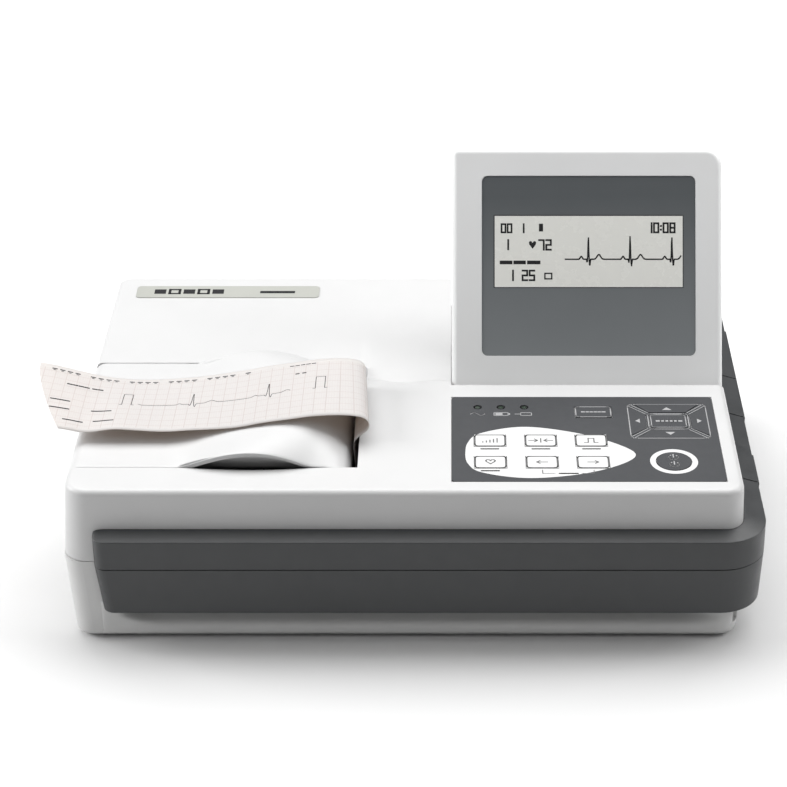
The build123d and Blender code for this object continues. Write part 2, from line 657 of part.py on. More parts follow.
# Recorder chassis: a tub for the roll with two side plates
tub_x, tub_z = (-118.0, -2.0), (5.0, 56.0)
with BuildPart() as recorder_chassis:
    add(box(tub_x, (paper_y - 34.0, paper_y - 32.0), tub_z))
    add(box((tub_x[1] - 2, tub_x[1]), (paper_y - 34.0, motor_y + 2.0), tub_z))
    add(box(tub_x, (motor_y, motor_y + 2.0), tub_z))
    add(box(tub_x, (paper_y - 34.0, motor_y + 2.0), (tub_z[0], tub_z[0] + 2)))
    add(box((tub_x[0], tub_x[0] + 2), (paper_y - 34.0, motor_y + 2.0), (tub_z[0], tub_z[1])))
    add(across(*motor, motor_y - 1, 4.0, 6), mode=Mode.SUBTRACT)
    add(across(*idler, motor_y - 1, 1.5, 6), mode=Mode.SUBTRACT)
    # Open-topped notches for the paper spool
    for y in (paper_y - 35.0, motor_y - 1):
        add(across(*roll, y, spool_r + 0.1, 4), mode=Mode.SUBTRACT)
        notch = (roll[0] - spool_r - 0.1, roll[0] + spool_r + 0.1)
        add(box(notch, (y, y + 4), (roll[1], 60.0)), mode=Mode.SUBTRACT)
recorder_chassis.part.label = "recorder_chassis"
export_step(recorder_chassis.part, "parts/recorder_chassis.step")

with BuildPart() as recorder_pins:
    add(across(*idler, gear_y - 1, 1.5, motor_y + 2 - gear_y + 1))
    for y in (door_y[0] - 3.0, door_y[1] - 7.0):
        add(across(*door_pivot, y, 1.5, 10))
recorder_pins.part.label = "recorder_pins"
export_step(recorder_pins.part, "parts/recorder_pins.step")

with BuildPart() as paper_spool:
    add(across(*roll, paper_y - 33.5, spool_r, motor_y + 1.5 - paper_y + 33.5))
paper_spool.part.label = "paper_spool"
export_step(paper_spool.part, "parts/paper_spool.step")

with BuildPart() as paper_core:
    add(across(*roll, paper_y - paper_w / 2, core_r, paper_w))
    add(across(*roll, paper_y - paper_w, spool_r, paper_w * 2), mode=Mode.SUBTRACT)
paper_core.part.label = "paper_core"
export_step(paper_core.part, "parts/paper_core.step")

with BuildPart() as paper_roll:
    add(across(*roll, paper_y - paper_w / 2, roll_r, paper_w))
    add(across(*roll, paper_y - paper_w, core_r, paper_w * 2), mode=Mode.SUBTRACT)
paper_roll.part.label = "paper_roll"
export_step(paper_roll.part, "parts/paper_roll.step")

# Printed strip: up through the slot, over the hump and out past the left side
paper_t = 0.2
strip_path = [(-15.6, 47.0), (-15.6, 51.0), (-15.55, 56.0), (-15.1, 62.0), (-13.9, 68.0), (-11.9, 73.0),
              (-11.1, 77.3), (-14.0, 81.3), (-21.0, 83.0), (-33.0, 82.6), (-54.0, 79.9), (-74.0, 76.6),
              (-95.0, 74.0), (-115.0, 73.6), (-132.0, 75.4), (-146.0, 80.0), (-boss_x, 84.9)]
with BuildPart() as paper_strip:
    with BuildSketch(Plane((0, paper_y + paper_w / 2, 0), x_dir=(1, 0, 0), z_dir=(0, -1, 0))):
        with BuildLine():
            path = Spline(*strip_path)
            back = Spline(*[path @ (k / 28) + (path % (k / 28)).rotate(Axis.Z, 90) * paper_t
                            for k in range(29)])
            Line(path @ 0, back @ 0)
            Line(path @ 1, back @ 1)
        make_face()
    extrude(amount=paper_w)
paper_strip.part.label = "paper_strip"
export_step(paper_strip.part, "parts/paper_strip.step")

# Thermal print head on a sprung bracket; it stands off the paper by the give of its springs
head_x = -15.2
bracket_x = -12.2
with BuildPart() as thermal_head:
    add(box((head_x, bracket_x - 0.1), (paper_y - 27, paper_y + 27), (44.0, 53.0)))
    chamfer(thermal_head.edges().filter_by(Axis.Y).sort_by(Axis.X)[:2].sort_by(Axis.Z)[-1], 1.0)
thermal_head.part.label = "thermal_head"
export_step(thermal_head.part, "parts/thermal_head.step")

with BuildPart() as head_bracket:
    add(box((bracket_x - 0.1, bracket_x + 1.9), (paper_y - 31.9, motor_y - 0.1), (40.0, 57.0)))
    add(box((bracket_x - 0.1, bracket_x + 6), (paper_y - 31.9, paper_y - 27.0), (40.0, 41.5)))
head_bracket.part.label = "head_bracket"
export_step(head_bracket.part, "parts/head_bracket.step")

spring_ys = (paper_y - 18.0, paper_y + 18.0)
spring_x = bracket_x + 2.5
with BuildPart() as head_springs:
    for y in spring_ys:
        with BuildLine():
            coil = Helix(pitch=1.3, height=4.6, radius=2.2, center=(spring_x, y, 48.5), direction=(1, 0, 0))
        with BuildSketch(Plane(coil @ 0, z_dir=coil % 0)):
            Circle(0.25)
        sweep(path=coil)
head_springs.part.label = "head_springs"
export_step(head_springs.part, "parts/head_springs.step")

with BuildPart() as stepper_motor:
    add(across(*motor, motor_y + 2.0, 12.5, 15.0))
    add(across(*motor, motor_y, 3.9, 3.0))
    add(box((motor[0] - 17, motor[0] + 17), (motor_y + 2.0, motor_y + 3.0), (motor[1] - 4, motor[1] + 4)))
    add(across(*motor, motor_y - 1, 1.0 + fit, 9.0), mode=Mode.SUBTRACT)
stepper_motor.part.label = "stepper_motor"
export_step(stepper_motor.part, "parts/stepper_motor.step")

# Electronics on the floor of the case
board_x, board_y = (4.0, 125.0), (-85.0, 90.0)
with BuildPart() as main_board:
    add(box(board_x, board_y, (main_board_z, main_board_z + 1.6)))
    for place in board_places:
        add(upright(*place, main_board_z - 1, 1.6, 4), mode=Mode.SUBTRACT)
    chip_z = (main_board_z + 1.6, main_board_z + 3.4)
    for x, y, w in ((22.0, -60.0, 20.0), (50.0, -62.0, 14.0), (24.0, 40.0, 16.0), (90.0, -66.0, 12.0)):
        add(box((x, x + w), (y, y + w), chip_z))
main_board.part.label = "main_board"
export_step(main_board.part, "parts/main_board.step")

shield_x, shield_y = (62.0, 112.0), (-20.0, 66.0)
with BuildPart() as signal_shield:
    add(box(shield_x, shield_y, (main_board_z + 1.6, main_board_z + 12.0)))
    fillet(signal_shield.edges().filter_by(Axis.Z), 2.0)
    offset(amount=-0.6, openings=signal_shield.faces().sort_by(Axis.Z)[0])
signal_shield.part.label = "signal_shield"
export_step(signal_shield.part, "parts/signal_shield.step")

with BuildPart() as power_board:
    add(box((-116.0, -8.0), (32.0, 88.0), (7.0, 8.6)))
    for x, y, r, h in ((-66.0, 44.0, 8.0, 24.0), (-46.0, 46.0, 6.0, 20.0), (-28.0, 50.0, 5.0, 16.0)):
        add(upright(x, y, 8.6, r, h))
power_board.part.label = "power_board"
export_step(power_board.part, "parts/power_board.step")

with BuildPart() as transformer:
    add(box((-114.0, -78.0), (34.0, 70.0), (8.6, 38.0)))
    fillet(transformer.edges().filter_by(Axis.Z), 2.0)
    add(box((-110.0, -82.0), (31.0, 73.0), (12.0, 34.0)))
transformer.part.label = "transformer"
export_step(transformer.part, "parts/transformer.step")

with BuildPart() as battery_pack:
    add(box((20.0, 98.0), (-50.0, 6.0), (base_z + wall + 0.1, base_z + wall + 19.1)))
    fillet(battery_pack.edges().filter_by(Axis.X), 8.0)
battery_pack.part.label = "battery_pack"
export_step(battery_pack.part, "parts/battery_pack.step")

with BuildPart() as buzzer:
    add(upright(-96.0, -78.0, base_z + wall, 9.0, 6.0))
    add(upright(-96.0, -78.0, base_z + wall + 5, 1.5, 2.0), mode=Mode.SUBTRACT)
buzzer.part.label = "buzzer"
export_step(buzzer.part, "parts/buzzer.step")

foot_places = [(-108.0, -80.0), (-108.0, 84.0), (116.0, -80.0), (116.0, 84.0)]
with BuildPart() as feet:
    for place in foot_places:
        add(upright(*place, 0, 6.0, base_z))
    fillet(feet.edges().group_by(Axis.Z)[0], 0.6)
feet.part.label = "feet"
export_step(feet.part, "parts/feet.step")

with BuildPart() as case_screws:
    for place in post_places:
        add(upright(*place, base_z + 1.0, 2.8, 1.9))
        add(upright(*place, base_z + 2.9, 1.5, 26.0))
        add(upright(*place, base_z, 1.0, 1.9), mode=Mode.SUBTRACT)
    for y in hatch_screw_ys:
        add(upright(hatch_mid_x, y, base_z + 0.1, 2.8, 1.1))
        add(upright(hatch_mid_x, y, base_z + 1.2, 1.25, 4.5))
case_screws.part.label = "case_screws"
export_step(case_screws.part, "parts/case_screws.step")

# Rear face: mains inlet, power switch and equipotential stud
with BuildPart() as mains_inlet:
    add(rear_hole(inlet_x, inlet_z, inlet_w - 0.4, inlet_h - 0.4, 80.0))
    add(rear_hole(inlet_x, inlet_z, inlet_w + 3.6, inlet_h + 3.6, flange_y))
    add(box((-200, 200), (deck_y[1], 120), (0, 60)), mode=Mode.SUBTRACT)
    add(rear_hole(inlet_x, inlet_z, 24.0, 16.5, 84.0), mode=Mode.SUBTRACT)
    for x, z in ((-7.0, -2.5), (7.0, -2.5), (0.0, 3.0)):
        add(box((inlet_x + x - 1, inlet_x + x + 1), (83.0, 99.0), (inlet_z + z - 2, inlet_z + z + 2)))
mains_inlet.part.label = "mains_inlet"
export_step(mains_inlet.part, "parts/mains_inlet.step")

with BuildPart() as switch_frame:
    add(rear_hole(switch_x, switch_z, switch_w - 0.4, switch_h - 0.4, 82.0))
    add(rear_hole(switch_x, switch_z, switch_w + 2.6, switch_h + 2.6, flange_y))
    add(box((-200, 200), (deck_y[1], 120), (0, 60)), mode=Mode.SUBTRACT)
    add(rear_hole(switch_x, switch_z, 10.0, 16.6, 90.0), mode=Mode.SUBTRACT)
switch_frame.part.label = "switch_frame"
export_step(switch_frame.part, "parts/switch_frame.step")

with BuildPart() as power_rocker:
    with BuildSketch(Plane((switch_x - 4.8, 0, switch_z), x_dir=(0, 1, 0), z_dir=(1, 0, 0))):
        with BuildLine():
            Polyline((93.5, -5.0), (101.5, -6.9), (100.2, 0.0), (100.2, 6.9), (93.5, 5.0), close=True)
        make_face()
    extrude(amount=9.6)
power_rocker.part.label = "power_rocker"
export_step(power_rocker.part, "parts/power_rocker.step")

with BuildPart() as equipotential_stud:
    add(across(stud_x, stud_z, 92.0, 6.8, 10.0))
    add(across(stud_x, stud_z, 93.5, 5.8, 10.0), mode=Mode.SUBTRACT)
    add(across(stud_x, stud_z, 92.5, 3.0, 8.5))
equipotential_stud.part.label = "equipotential_stud"
export_step(equipotential_stud.part, "parts/equipotential_stud.step")

# Right-hand ports: two D-type sockets on flanges and one round socket
flange_x = 149.0


def d_socket(port, shell_w):
    """A D-type socket facing +X, with its shell standing out of the flange."""
    mid, width, height = port
    with BuildPart(mode=Mode.PRIVATE) as socket:
        flange_z = (port_z - height / 2, port_z + height / 2)
        add(box((flange_x, flange_x + 1), (mid - width / 2, mid + width / 2), flange_z))
        add(box((118.0, flange_x), (mid - shell_w / 2, mid + shell_w / 2), (port_z - 5.0, port_z + 5.0)))
        with BuildSketch(Plane((flange_x + 1, mid, port_z), x_dir=(0, 1, 0), z_dir=(1, 0, 0))):
            Trapezoid(shell_w, 8.0, 80)
        extrude(amount=4.5)
    return socket.part


with BuildPart() as patient_connector:
    add(d_socket(patient_port, 25.0))
patient_connector.part.label = "patient_connector"
export_step(patient_connector.part, "parts/patient_connector.step")

with BuildPart() as serial_connector:
    add(d_socket(serial_port, 17.0))
serial_connector.part.label = "serial_connector"
export_step(serial_connector.part, "parts/serial_connector.step")

with BuildPart() as io_connector:
    add(box((flange_x, flange_x + 1), (io_port[0] - 7.5, io_port[0] + 7.5), (port_z - 7.5, port_z + 7.5)))
    add(along(118.0, io_port[0], port_z, 6.0, flange_x - 118))
    add(along(flange_x, io_port[0], port_z, 6.8, 3.5))
    add(along(flange_x - 3, io_port[0], port_z, 4.6, 10), mode=Mode.SUBTRACT)
    add(along(flange_x - 4, io_port[0], port_z, 1.5, 4))
io_connector.part.label = "io_connector"
export_step(io_connector.part, "parts/io_connector.step")

with BuildPart() as jackscrews:
    for port, spacing in ((patient_port, 33.3), (serial_port, 25.0)):
        for way in (-1, 1):
            with BuildSketch(Plane((flange_x + 1, port[0] + way * spacing / 2, port_z), z_dir=(1, 0, 0))):
                RegularPolygon(2.4, 6)
                Circle(1.2, mode=Mode.SUBTRACT)
            extrude(amount=4.0)
jackscrews.part.label = "jackscrews"
export_step(jackscrews.part, "parts/jackscrews.step")
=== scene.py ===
from math import cos, pi, radians, sin, sqrt
import bpy
import bmesh
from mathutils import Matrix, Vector
from mathutils.geometry import delaunay_2d_cdt


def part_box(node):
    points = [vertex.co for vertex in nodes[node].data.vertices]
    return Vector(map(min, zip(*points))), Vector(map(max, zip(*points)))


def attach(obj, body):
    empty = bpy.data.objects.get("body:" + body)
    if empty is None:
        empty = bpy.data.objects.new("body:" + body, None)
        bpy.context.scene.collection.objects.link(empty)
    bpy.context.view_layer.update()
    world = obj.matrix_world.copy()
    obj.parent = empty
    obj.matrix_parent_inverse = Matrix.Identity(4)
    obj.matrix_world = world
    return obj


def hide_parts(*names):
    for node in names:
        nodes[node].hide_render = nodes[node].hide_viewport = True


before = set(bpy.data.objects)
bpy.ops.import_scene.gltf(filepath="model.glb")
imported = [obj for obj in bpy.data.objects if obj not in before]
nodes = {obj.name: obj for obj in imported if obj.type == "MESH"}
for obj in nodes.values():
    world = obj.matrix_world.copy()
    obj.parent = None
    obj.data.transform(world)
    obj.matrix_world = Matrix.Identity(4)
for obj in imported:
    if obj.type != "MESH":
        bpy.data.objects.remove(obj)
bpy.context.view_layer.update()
mm = 0.001  # sizes below are in millimetres, the scene is in metres
print("frame loaded:", len(nodes), "nodes")


# small helpers

def blendTo(low, high, x):
    # 0 below low, 1 above high, smooth between
    t = min(max((x - low) / (high - low), 0.0), 1.0)
    return t * t * (3 - 2 * t)


def smoothPath(points, steps):
    # a smooth curve through a few points, any number of axes
    result = []
    for i in range(len(points) - 1):
        a = points[max(i - 1, 0)]
        b, c = points[i], points[i + 1]
        d = points[min(i + 2, len(points) - 1)]
        for k in range(steps):
            t = k / steps
            result.append(tuple(
                0.5 * (2 * q + (r - p) * t + (2 * p - 5 * q + 4 * r - s) * t * t
                       + (3 * q - p - 3 * r + s) * t ** 3)
                for p, q, r, s in zip(a, b, c, d)))
    result.append(tuple(points[-1]))
    return result


def evenPath(points, count):
    # the same line with its points spaced evenly
    lengths = [0.0]
    for a, b in zip(points, points[1:]):
        lengths.append(lengths[-1] + sqrt(sum((q - p) ** 2 for p, q in zip(a, b))))
    result, k = [], 0
    for i in range(count):
        want = lengths[-1] * i / (count - 1)
        while k < len(points) - 2 and lengths[k + 1] < want:
            k += 1
        t = (want - lengths[k]) / max(lengths[k + 1] - lengths[k], 1e-9)
        result.append(tuple(p + (q - p) * t for p, q in zip(points[k], points[k + 1])))
    return result


def addPiece(name, verts, faces, material, body, smooth=True):
    # a mesh piece that rides on a CAD body; verts in millimetres
    mesh = bpy.data.meshes.new(name)
    mesh.from_pydata([Vector(v) * mm for v in verts], [], faces)
    mesh.update()
    mesh.materials.append(material)
    for face in mesh.polygons:
        face.use_smooth = smooth
    piece = bpy.data.objects.new(name, mesh)
    bpy.context.collection.objects.link(piece)
    if body:
        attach(piece, body)
    return piece


def gridFaces(rows, columns, flip=False):
    # four-sided faces over rows of points; flip turns their fronts round
    faces = []
    for i in range(rows - 1):
        for k in range(columns - 1):
            a = i * columns + k
            b, c, d = a + columns, a + columns + 1, a + 1
            faces.append((a, d, c, b) if flip else (a, b, c, d))
    return faces


def applyModifiers(piece):
    # the piece's mesh as its modifiers leave it
    shown = piece.evaluated_get(bpy.context.evaluated_depsgraph_get())
    mesh = bpy.data.meshes.new_from_object(shown)
    piece.modifiers.clear()
    piece.data = mesh


def thicken(piece, thick, offset):
    # give a surface a wall, inwards for an offset of -1
    shell = piece.modifiers.new("wall", "SOLIDIFY")
    shell.thickness = thick * mm
    shell.offset = offset


def softenEdges(piece, width, segments, degrees=30):
    # round off the edges that turn more than so many degrees
    soften = piece.modifiers.new("soften", "BEVEL")
    soften.width = width * mm
    soften.segments = segments
    soften.limit_method = "ANGLE"
    soften.angle_limit = radians(degrees)


def fixNormals(piece):
    # turn every face's front outwards
    work = bmesh.new()
    work.from_mesh(piece.data)
    bmesh.ops.recalc_face_normals(work, faces=work.faces)
    top = max(work.faces, key=lambda f: f.calc_center_median().z)
    if top.normal.z < 0:
        bmesh.ops.reverse_faces(work, faces=work.faces)
    work.to_mesh(piece.data)
    work.free()


def sharpBy(piece, degrees):
    # shade smooth, but keep real edges crisp
    mesh = piece.data
    work = bmesh.new()
    work.from_mesh(mesh)
    for edge in work.edges:
        if len(edge.link_faces) == 2:
            edge.smooth = edge.calc_face_angle(0) < radians(degrees)
    for face in work.faces:
        face.smooth = True
    work.to_mesh(mesh)
    work.free()


# materials

def startMaterial(name):
    made = bpy.data.materials.new(name)
    made.use_nodes = True
    tree = made.node_tree
    return made, tree, tree.nodes["Principled BSDF"]


def addNode(tree, kind, **values):
    made = tree.nodes.new(kind)
    for key, value in values.items():
        setattr(made, key, value)
    return made


def setInputs(node, values):
    # set a node's own values by the names of their sockets
    for key, value in values.items():
        node.inputs[key].default_value = value


def noiseOn(tree, scale, detail=4.0, rough=0.55):
    place = addNode(tree, "ShaderNodeTexCoord")
    noise = addNode(tree, "ShaderNodeTexNoise")
    setInputs(noise, {"Scale": scale, "Detail": detail, "Roughness": rough})
    tree.links.new(place.outputs["Object"], noise.inputs["Vector"])
    return noise


def remap(tree, source, low, high):
    spread = addNode(tree, "ShaderNodeMapRange")
    setInputs(spread, {"From Min": 0.3, "From Max": 0.7, "To Min": low, "To Max": high})
    tree.links.new(source, spread.inputs["Value"])
    return spread.outputs["Result"]


def addBump(tree, source, shader, distance, strength=1.0):
    # fine relief from a pattern
    bump = addNode(tree, "ShaderNodeBump")
    setInputs(bump, {"Strength": strength, "Distance": distance})
    tree.links.new(source, bump.inputs["Height"])
    tree.links.new(bump.outputs["Normal"], shader.inputs["Normal"])
    return bump


def mixColors(tree, factor, colorA, colorB):
    mix = addNode(tree, "ShaderNodeMix", data_type="RGBA")
    tree.links.new(factor, mix.inputs["Factor"])
    setInputs(mix, {"A": (*colorA, 1), "B": (*colorB, 1)})
    return mix.outputs["Result"]


def mouldedPlastic(name, color, rough=0.42, grain=0.00002, grainScale=2600, mottle=0.03, edge=0.00035,
                   metal=0.0, coat=0.0, gloss=0.5):
    # spark-eroded mould texture, faint flow mottle, and edges that catch a highlight
    made, tree, shader = startMaterial(name)
    cloud = noiseOn(tree, 22, 3)
    darker = tuple(c * (1 - mottle) for c in color)
    lighter = tuple(min(c * (1 + mottle), 1) for c in color)
    tree.links.new(mixColors(tree, remap(tree, cloud.outputs["Fac"], 0, 1), darker, lighter),
                   shader.inputs["Base Color"])
    scuff = noiseOn(tree, 160, 5, 0.65)
    tree.links.new(remap(tree, scuff.outputs["Fac"], rough - 0.05, rough + 0.07), shader.inputs["Roughness"])
    sand = noiseOn(tree, grainScale, 2)
    bump = addBump(tree, sand.outputs["Fac"], shader, grain, 0.5)
    if edge:
        soft = addNode(tree, "ShaderNodeBevel", samples=6)
        soft.inputs["Radius"].default_value = edge
        tree.links.new(soft.outputs["Normal"], bump.inputs["Normal"])
    setInputs(shader, {"Metallic": metal, "Specular IOR Level": gloss, "Coat Weight": coat,
                       "Coat Roughness": 0.12})
    return made


def brushedMetal(name, color, rough=0.3):
    # fine lines along one direction
    made, tree, shader = startMaterial(name)
    place = addNode(tree, "ShaderNodeTexCoord")
    stretch = addNode(tree, "ShaderNodeMapping")
    stretch.inputs["Scale"].default_value = (60, 1500, 1500)
    tree.links.new(place.outputs["Object"], stretch.inputs["Vector"])
    lines = addNode(tree, "ShaderNodeTexNoise")
    setInputs(lines, {"Scale": 1.0, "Detail": 5})
    tree.links.new(stretch.outputs["Vector"], lines.inputs["Vector"])
    tree.links.new(mixColors(tree, lines.outputs["Fac"], tuple(c * 0.8 for c in color), color),
                   shader.inputs["Base Color"])
    tree.links.new(remap(tree, lines.outputs["Fac"], rough - 0.08, rough + 0.12), shader.inputs["Roughness"])
    shader.inputs["Metallic"].default_value = 1.0
    addBump(tree, lines.outputs["Fac"], shader, 0.00001, 0.2)
    return made


def circuitBoard(name):
    # a grid of paler tracks under green solder mask
    made, tree, shader = startMaterial(name)
    place = addNode(tree, "ShaderNodeTexCoord")
    cells = addNode(tree, "ShaderNodeTexBrick")
    setInputs(cells, {"Scale": 180, "Mortar Size": 0.03, "Color1": (0.012, 0.075, 0.03, 1),
                      "Color2": (0.018, 0.11, 0.045, 1), "Mortar": (0.05, 0.2, 0.08, 1)})
    tree.links.new(place.outputs["Object"], cells.inputs["Vector"])
    tree.links.new(cells.outputs["Color"], shader.inputs["Base Color"])
    dust = noiseOn(tree, 300)
    tree.links.new(remap(tree, dust.outputs["Fac"], 0.25, 0.45), shader.inputs["Roughness"])
    addBump(tree, cells.outputs["Fac"], shader, 0.00003)
    return made


def shadedWindowPlastic(name, shadedTopColor, litFootColor):
    # smoked acrylic with painted shade: darker at its top and paler towards its foot, as light falls on it
    made, tree, shader = startMaterial(name)
    place = addNode(tree, "ShaderNodeTexCoord")
    split = addNode(tree, "ShaderNodeSeparateXYZ")
    tree.links.new(place.outputs["Object"], split.inputs["Vector"])
    # painted shade by height: from the darker top colour down to the paler foot colour
    rise = addNode(tree, "ShaderNodeMapRange")
    setInputs(rise, {"From Min": 0.075, "From Max": 0.145})
    tree.links.new(split.outputs["Z"], rise.inputs["Value"])
    cloud = noiseOn(tree, 40, 3)
    blend = addNode(tree, "ShaderNodeMath", operation="MULTIPLY_ADD")
    blend.inputs[1].default_value = 0.12
    tree.links.new(cloud.outputs["Fac"], blend.inputs[0])
    tree.links.new(rise.outputs["Result"], blend.inputs[2])
    tree.links.new(mixColors(tree, blend.outputs[0], litFootColor, shadedTopColor), shader.inputs["Base Color"])
    smear = noiseOn(tree, 90, 4)
    tree.links.new(remap(tree, smear.outputs["Fac"], 0.16, 0.26), shader.inputs["Roughness"])
    shader.inputs["Specular IOR Level"].default_value = 0.35
    return made


# the display shell is the same white plastic as the top cover, painted paler: painted light on its shaded face
coverColors = {"shell": (0.555, 0.555, 0.555), "base": (0.59, 0.59, 0.585), "band": (0.040, 0.042, 0.044),
               "panel": (0.78, 0.785, 0.785), "film": (0.05, 0.052, 0.056), "white": (0.62, 0.62, 0.62),
               "softWhite": (0.36, 0.36, 0.365), "ink": (0.025, 0.025, 0.027), "grey": (0.12, 0.12, 0.12),
               "lcd": (0.80, 0.80, 0.76)}

finish = {
    "shell": mouldedPlastic("white shell", coverColors["shell"], 0.38, mottle=0.012),
    "base": mouldedPlastic("grey shell", coverColors["base"], 0.42, mottle=0.02),
    "band": mouldedPlastic("dark band", coverColors["band"], 0.40, 0.00004, 1700, 0.06, 0.0006),
    # display shell: white plastic painted paler than the top cover, as painted light
    "panel": mouldedPlastic("display shell", coverColors["panel"], 0.36, mottle=0.015),
    "plate": mouldedPlastic("plate print", (0.39, 0.395, 0.365), 0.35, mottle=0.02),
    "film": mouldedPlastic("keypad film", coverColors["film"], 0.5, 0.00001, 3200, 0.05, 0.0001, gloss=0.2),
    "white": mouldedPlastic("white print", coverColors["white"], 0.5, 0.00001, 3000, 0.01, 0, gloss=0.2),
    "softWhite": mouldedPlastic("pale print", coverColors["softWhite"], 0.5, 0.00001, 3000, 0.05, 0,
                                gloss=0.2),
    "grey": mouldedPlastic("grey print", coverColors["grey"], 0.6, 0.00001, 3000, 0.08, 0, gloss=0.1),
    "ink": mouldedPlastic("dark print", coverColors["ink"], 0.6, 0.00001, 3000, 0.05, 0, gloss=0.1),
    # the window's first colour is painted shade at its top, the second painted light at its foot
    "window": shadedWindowPlastic("display window", (0.105, 0.114, 0.120), (0.23, 0.245, 0.253)),
    "lcd": mouldedPlastic("liquid crystal", coverColors["lcd"], 0.25, 0.000002, 900, 0.004, 0),
    "lamp": mouldedPlastic("lamp lens", (0.02, 0.035, 0.022), 0.25, mottle=0.1),
    "black": mouldedPlastic("black plastic", (0.02, 0.02, 0.022), 0.38, mottle=0.15),
    "tub": mouldedPlastic("tub plastic", (0.13, 0.13, 0.135), 0.5, mottle=0.08),
    "rubber": mouldedPlastic("rubber", (0.018, 0.018, 0.018), 0.75, 0.00006, 900, 0.2),
    "acetal": mouldedPlastic("gear plastic", (0.78, 0.77, 0.72), 0.35, mottle=0.03),
    "card": mouldedPlastic("card core", (0.42, 0.3, 0.19), 0.85, 0.00008, 700, 0.15),
    "ceramic": mouldedPlastic("glazed ceramic", (0.7, 0.67, 0.6), 0.15, mottle=0.04, coat=0.4),
    "battery": mouldedPlastic("battery wrap", (0.03, 0.09, 0.3), 0.25, 0.00005, 260, 0.12),
    "iron": mouldedPlastic("laminated core", (0.2, 0.2, 0.21), 0.45, 0.0001, 500, 0.3, metal=0.8),
    "steel": brushedMetal("bright steel", (0.62, 0.62, 0.63)),
    "brass": brushedMetal("brass", (0.75, 0.58, 0.28), 0.25),
    "board": circuitBoard("circuit board"),
}
print("materials made")


# paper: a pale rose grid, from the strip's own length and width; each grid is its pitch, line and strength
paper = {"low": (0.70, 0.692, 0.688), "high": (0.74, 0.732, 0.728), "line": (0.43, 0.32, 0.30),
         "grids": ((1.0, 0.12, 0.2), (5.0, 0.32, 0.42)), "middle": 25.0, "halfGrid": 22.4,
         "glow": (0.72, 0.62, 0.54), "through": 0.34}


def paperMaterial(name, grid):
    made, tree, shader = startMaterial(name)
    fibre = noiseOn(tree, 900, 6, 0.7)
    shader.inputs["Roughness"].default_value = 0.62
    sheetColor = mixColors(tree, remap(tree, fibre.outputs["Fac"], 0, 1), paper["low"], paper["high"])
    if grid:
        place = addNode(tree, "ShaderNodeUVMap", uv_map="length")
        split = addNode(tree, "ShaderNodeSeparateXYZ")
        tree.links.new(place.outputs["UV"], split.inputs["Vector"])
        weights = []
        for pitch, width, strength in paper["grids"]:
            for axis in ("X", "Y"):
                cell = addNode(tree, "ShaderNodeMath", operation="PINGPONG")
                cell.inputs[1].default_value = pitch / 2
                tree.links.new(split.outputs[axis], cell.inputs[0])
                line = addNode(tree, "ShaderNodeMath", operation="LESS_THAN")
                line.inputs[1].default_value = width / 2
                tree.links.new(cell.outputs[0], line.inputs[0])
                weight = addNode(tree, "ShaderNodeMath", operation="MULTIPLY")
                weight.inputs[1].default_value = strength
                tree.links.new(line.outputs[0], weight.inputs[0])
                weights.append(weight.outputs[0])
        total = weights[0]
        for other in weights[1:]:
            biggest = addNode(tree, "ShaderNodeMath", operation="MAXIMUM")
            tree.links.new(total, biggest.inputs[0])
            tree.links.new(other, biggest.inputs[1])
            total = biggest.outputs[0]
        # plain margins along both edges
        middle = addNode(tree, "ShaderNodeMath", operation="COMPARE")
        setInputs(middle, {1: paper["middle"], 2: paper["halfGrid"]})
        tree.links.new(split.outputs["Y"], middle.inputs[0])
        inside = addNode(tree, "ShaderNodeMath", operation="MULTIPLY")
        tree.links.new(middle.outputs[0], inside.inputs[0])
        tree.links.new(total, inside.inputs[1])
        mix = addNode(tree, "ShaderNodeMix", data_type="RGBA")
        tree.links.new(inside.outputs[0], mix.inputs["Factor"])
        tree.links.new(sheetColor, mix.inputs["A"])
        mix.inputs["B"].default_value = (*paper["line"], 1)
        sheetColor = mix.outputs["Result"]
    tree.links.new(sheetColor, shader.inputs["Base Color"])
    bump = addBump(tree, fibre.outputs["Fac"], shader, 0.00003, 0.3)
    glow = addNode(tree, "ShaderNodeBsdfTranslucent")
    glow.inputs["Color"].default_value = (*paper["glow"], 1)
    tree.links.new(bump.outputs["Normal"], glow.inputs["Normal"])
    through = addNode(tree, "ShaderNodeMixShader")
    through.inputs[0].default_value = paper["through"]
    tree.links.new(shader.outputs["BSDF"], through.inputs[1])
    tree.links.new(glow.outputs["BSDF"], through.inputs[2])
    tree.links.new(through.outputs["Shader"], tree.nodes["Material Output"].inputs["Surface"])
    return made


finish["paper"] = paperMaterial("thermal paper", True)
finish["rollPaper"] = paperMaterial("rolled paper", False)

# which CAD pieces have each look
lookNodes = {
    "base": "bottom_case battery_cover",
    "band": "upper_bumper lower_bumper",
    "plate": "name_plate",
    "film": "keypad_overlay",
    "board": "keypad_board main_board power_board display_board",
    "lamp": "status_leds",
    "steel": "display_hinge_pins recorder_pins head_bracket head_springs stepper_motor signal_shield "
             "case_screws patient_connector serial_connector jackscrews platen_shaft",
    "tub": "recorder_chassis paper_spool",
    "ceramic": "thermal_head",
    "iron": "transformer",
    "battery": "battery_pack",
    "black": "buzzer mains_inlet switch_frame io_connector power_rocker",
    "rubber": "feet platen_roller",
    "brass": "equipotential_stud motor_pinion",
    "panel": "display_bezel display_back_shell",
    "window": "display_window",
    "lcd": "lcd_module",
    "acetal": "platen_gear idler_gear",
    "rollPaper": "paper_roll",
    "card": "paper_core",
    "shell": "recorder_door top_cover",
    "paper": "paper_strip"}
nodeFinish = {name: look for look, names in lookNodes.items() for name in names.split()}
whiteKeys = ("key_sensitivity", "key_reset", "key_calibrate", "key_mode", "key_lead_back", "key_lead_next")
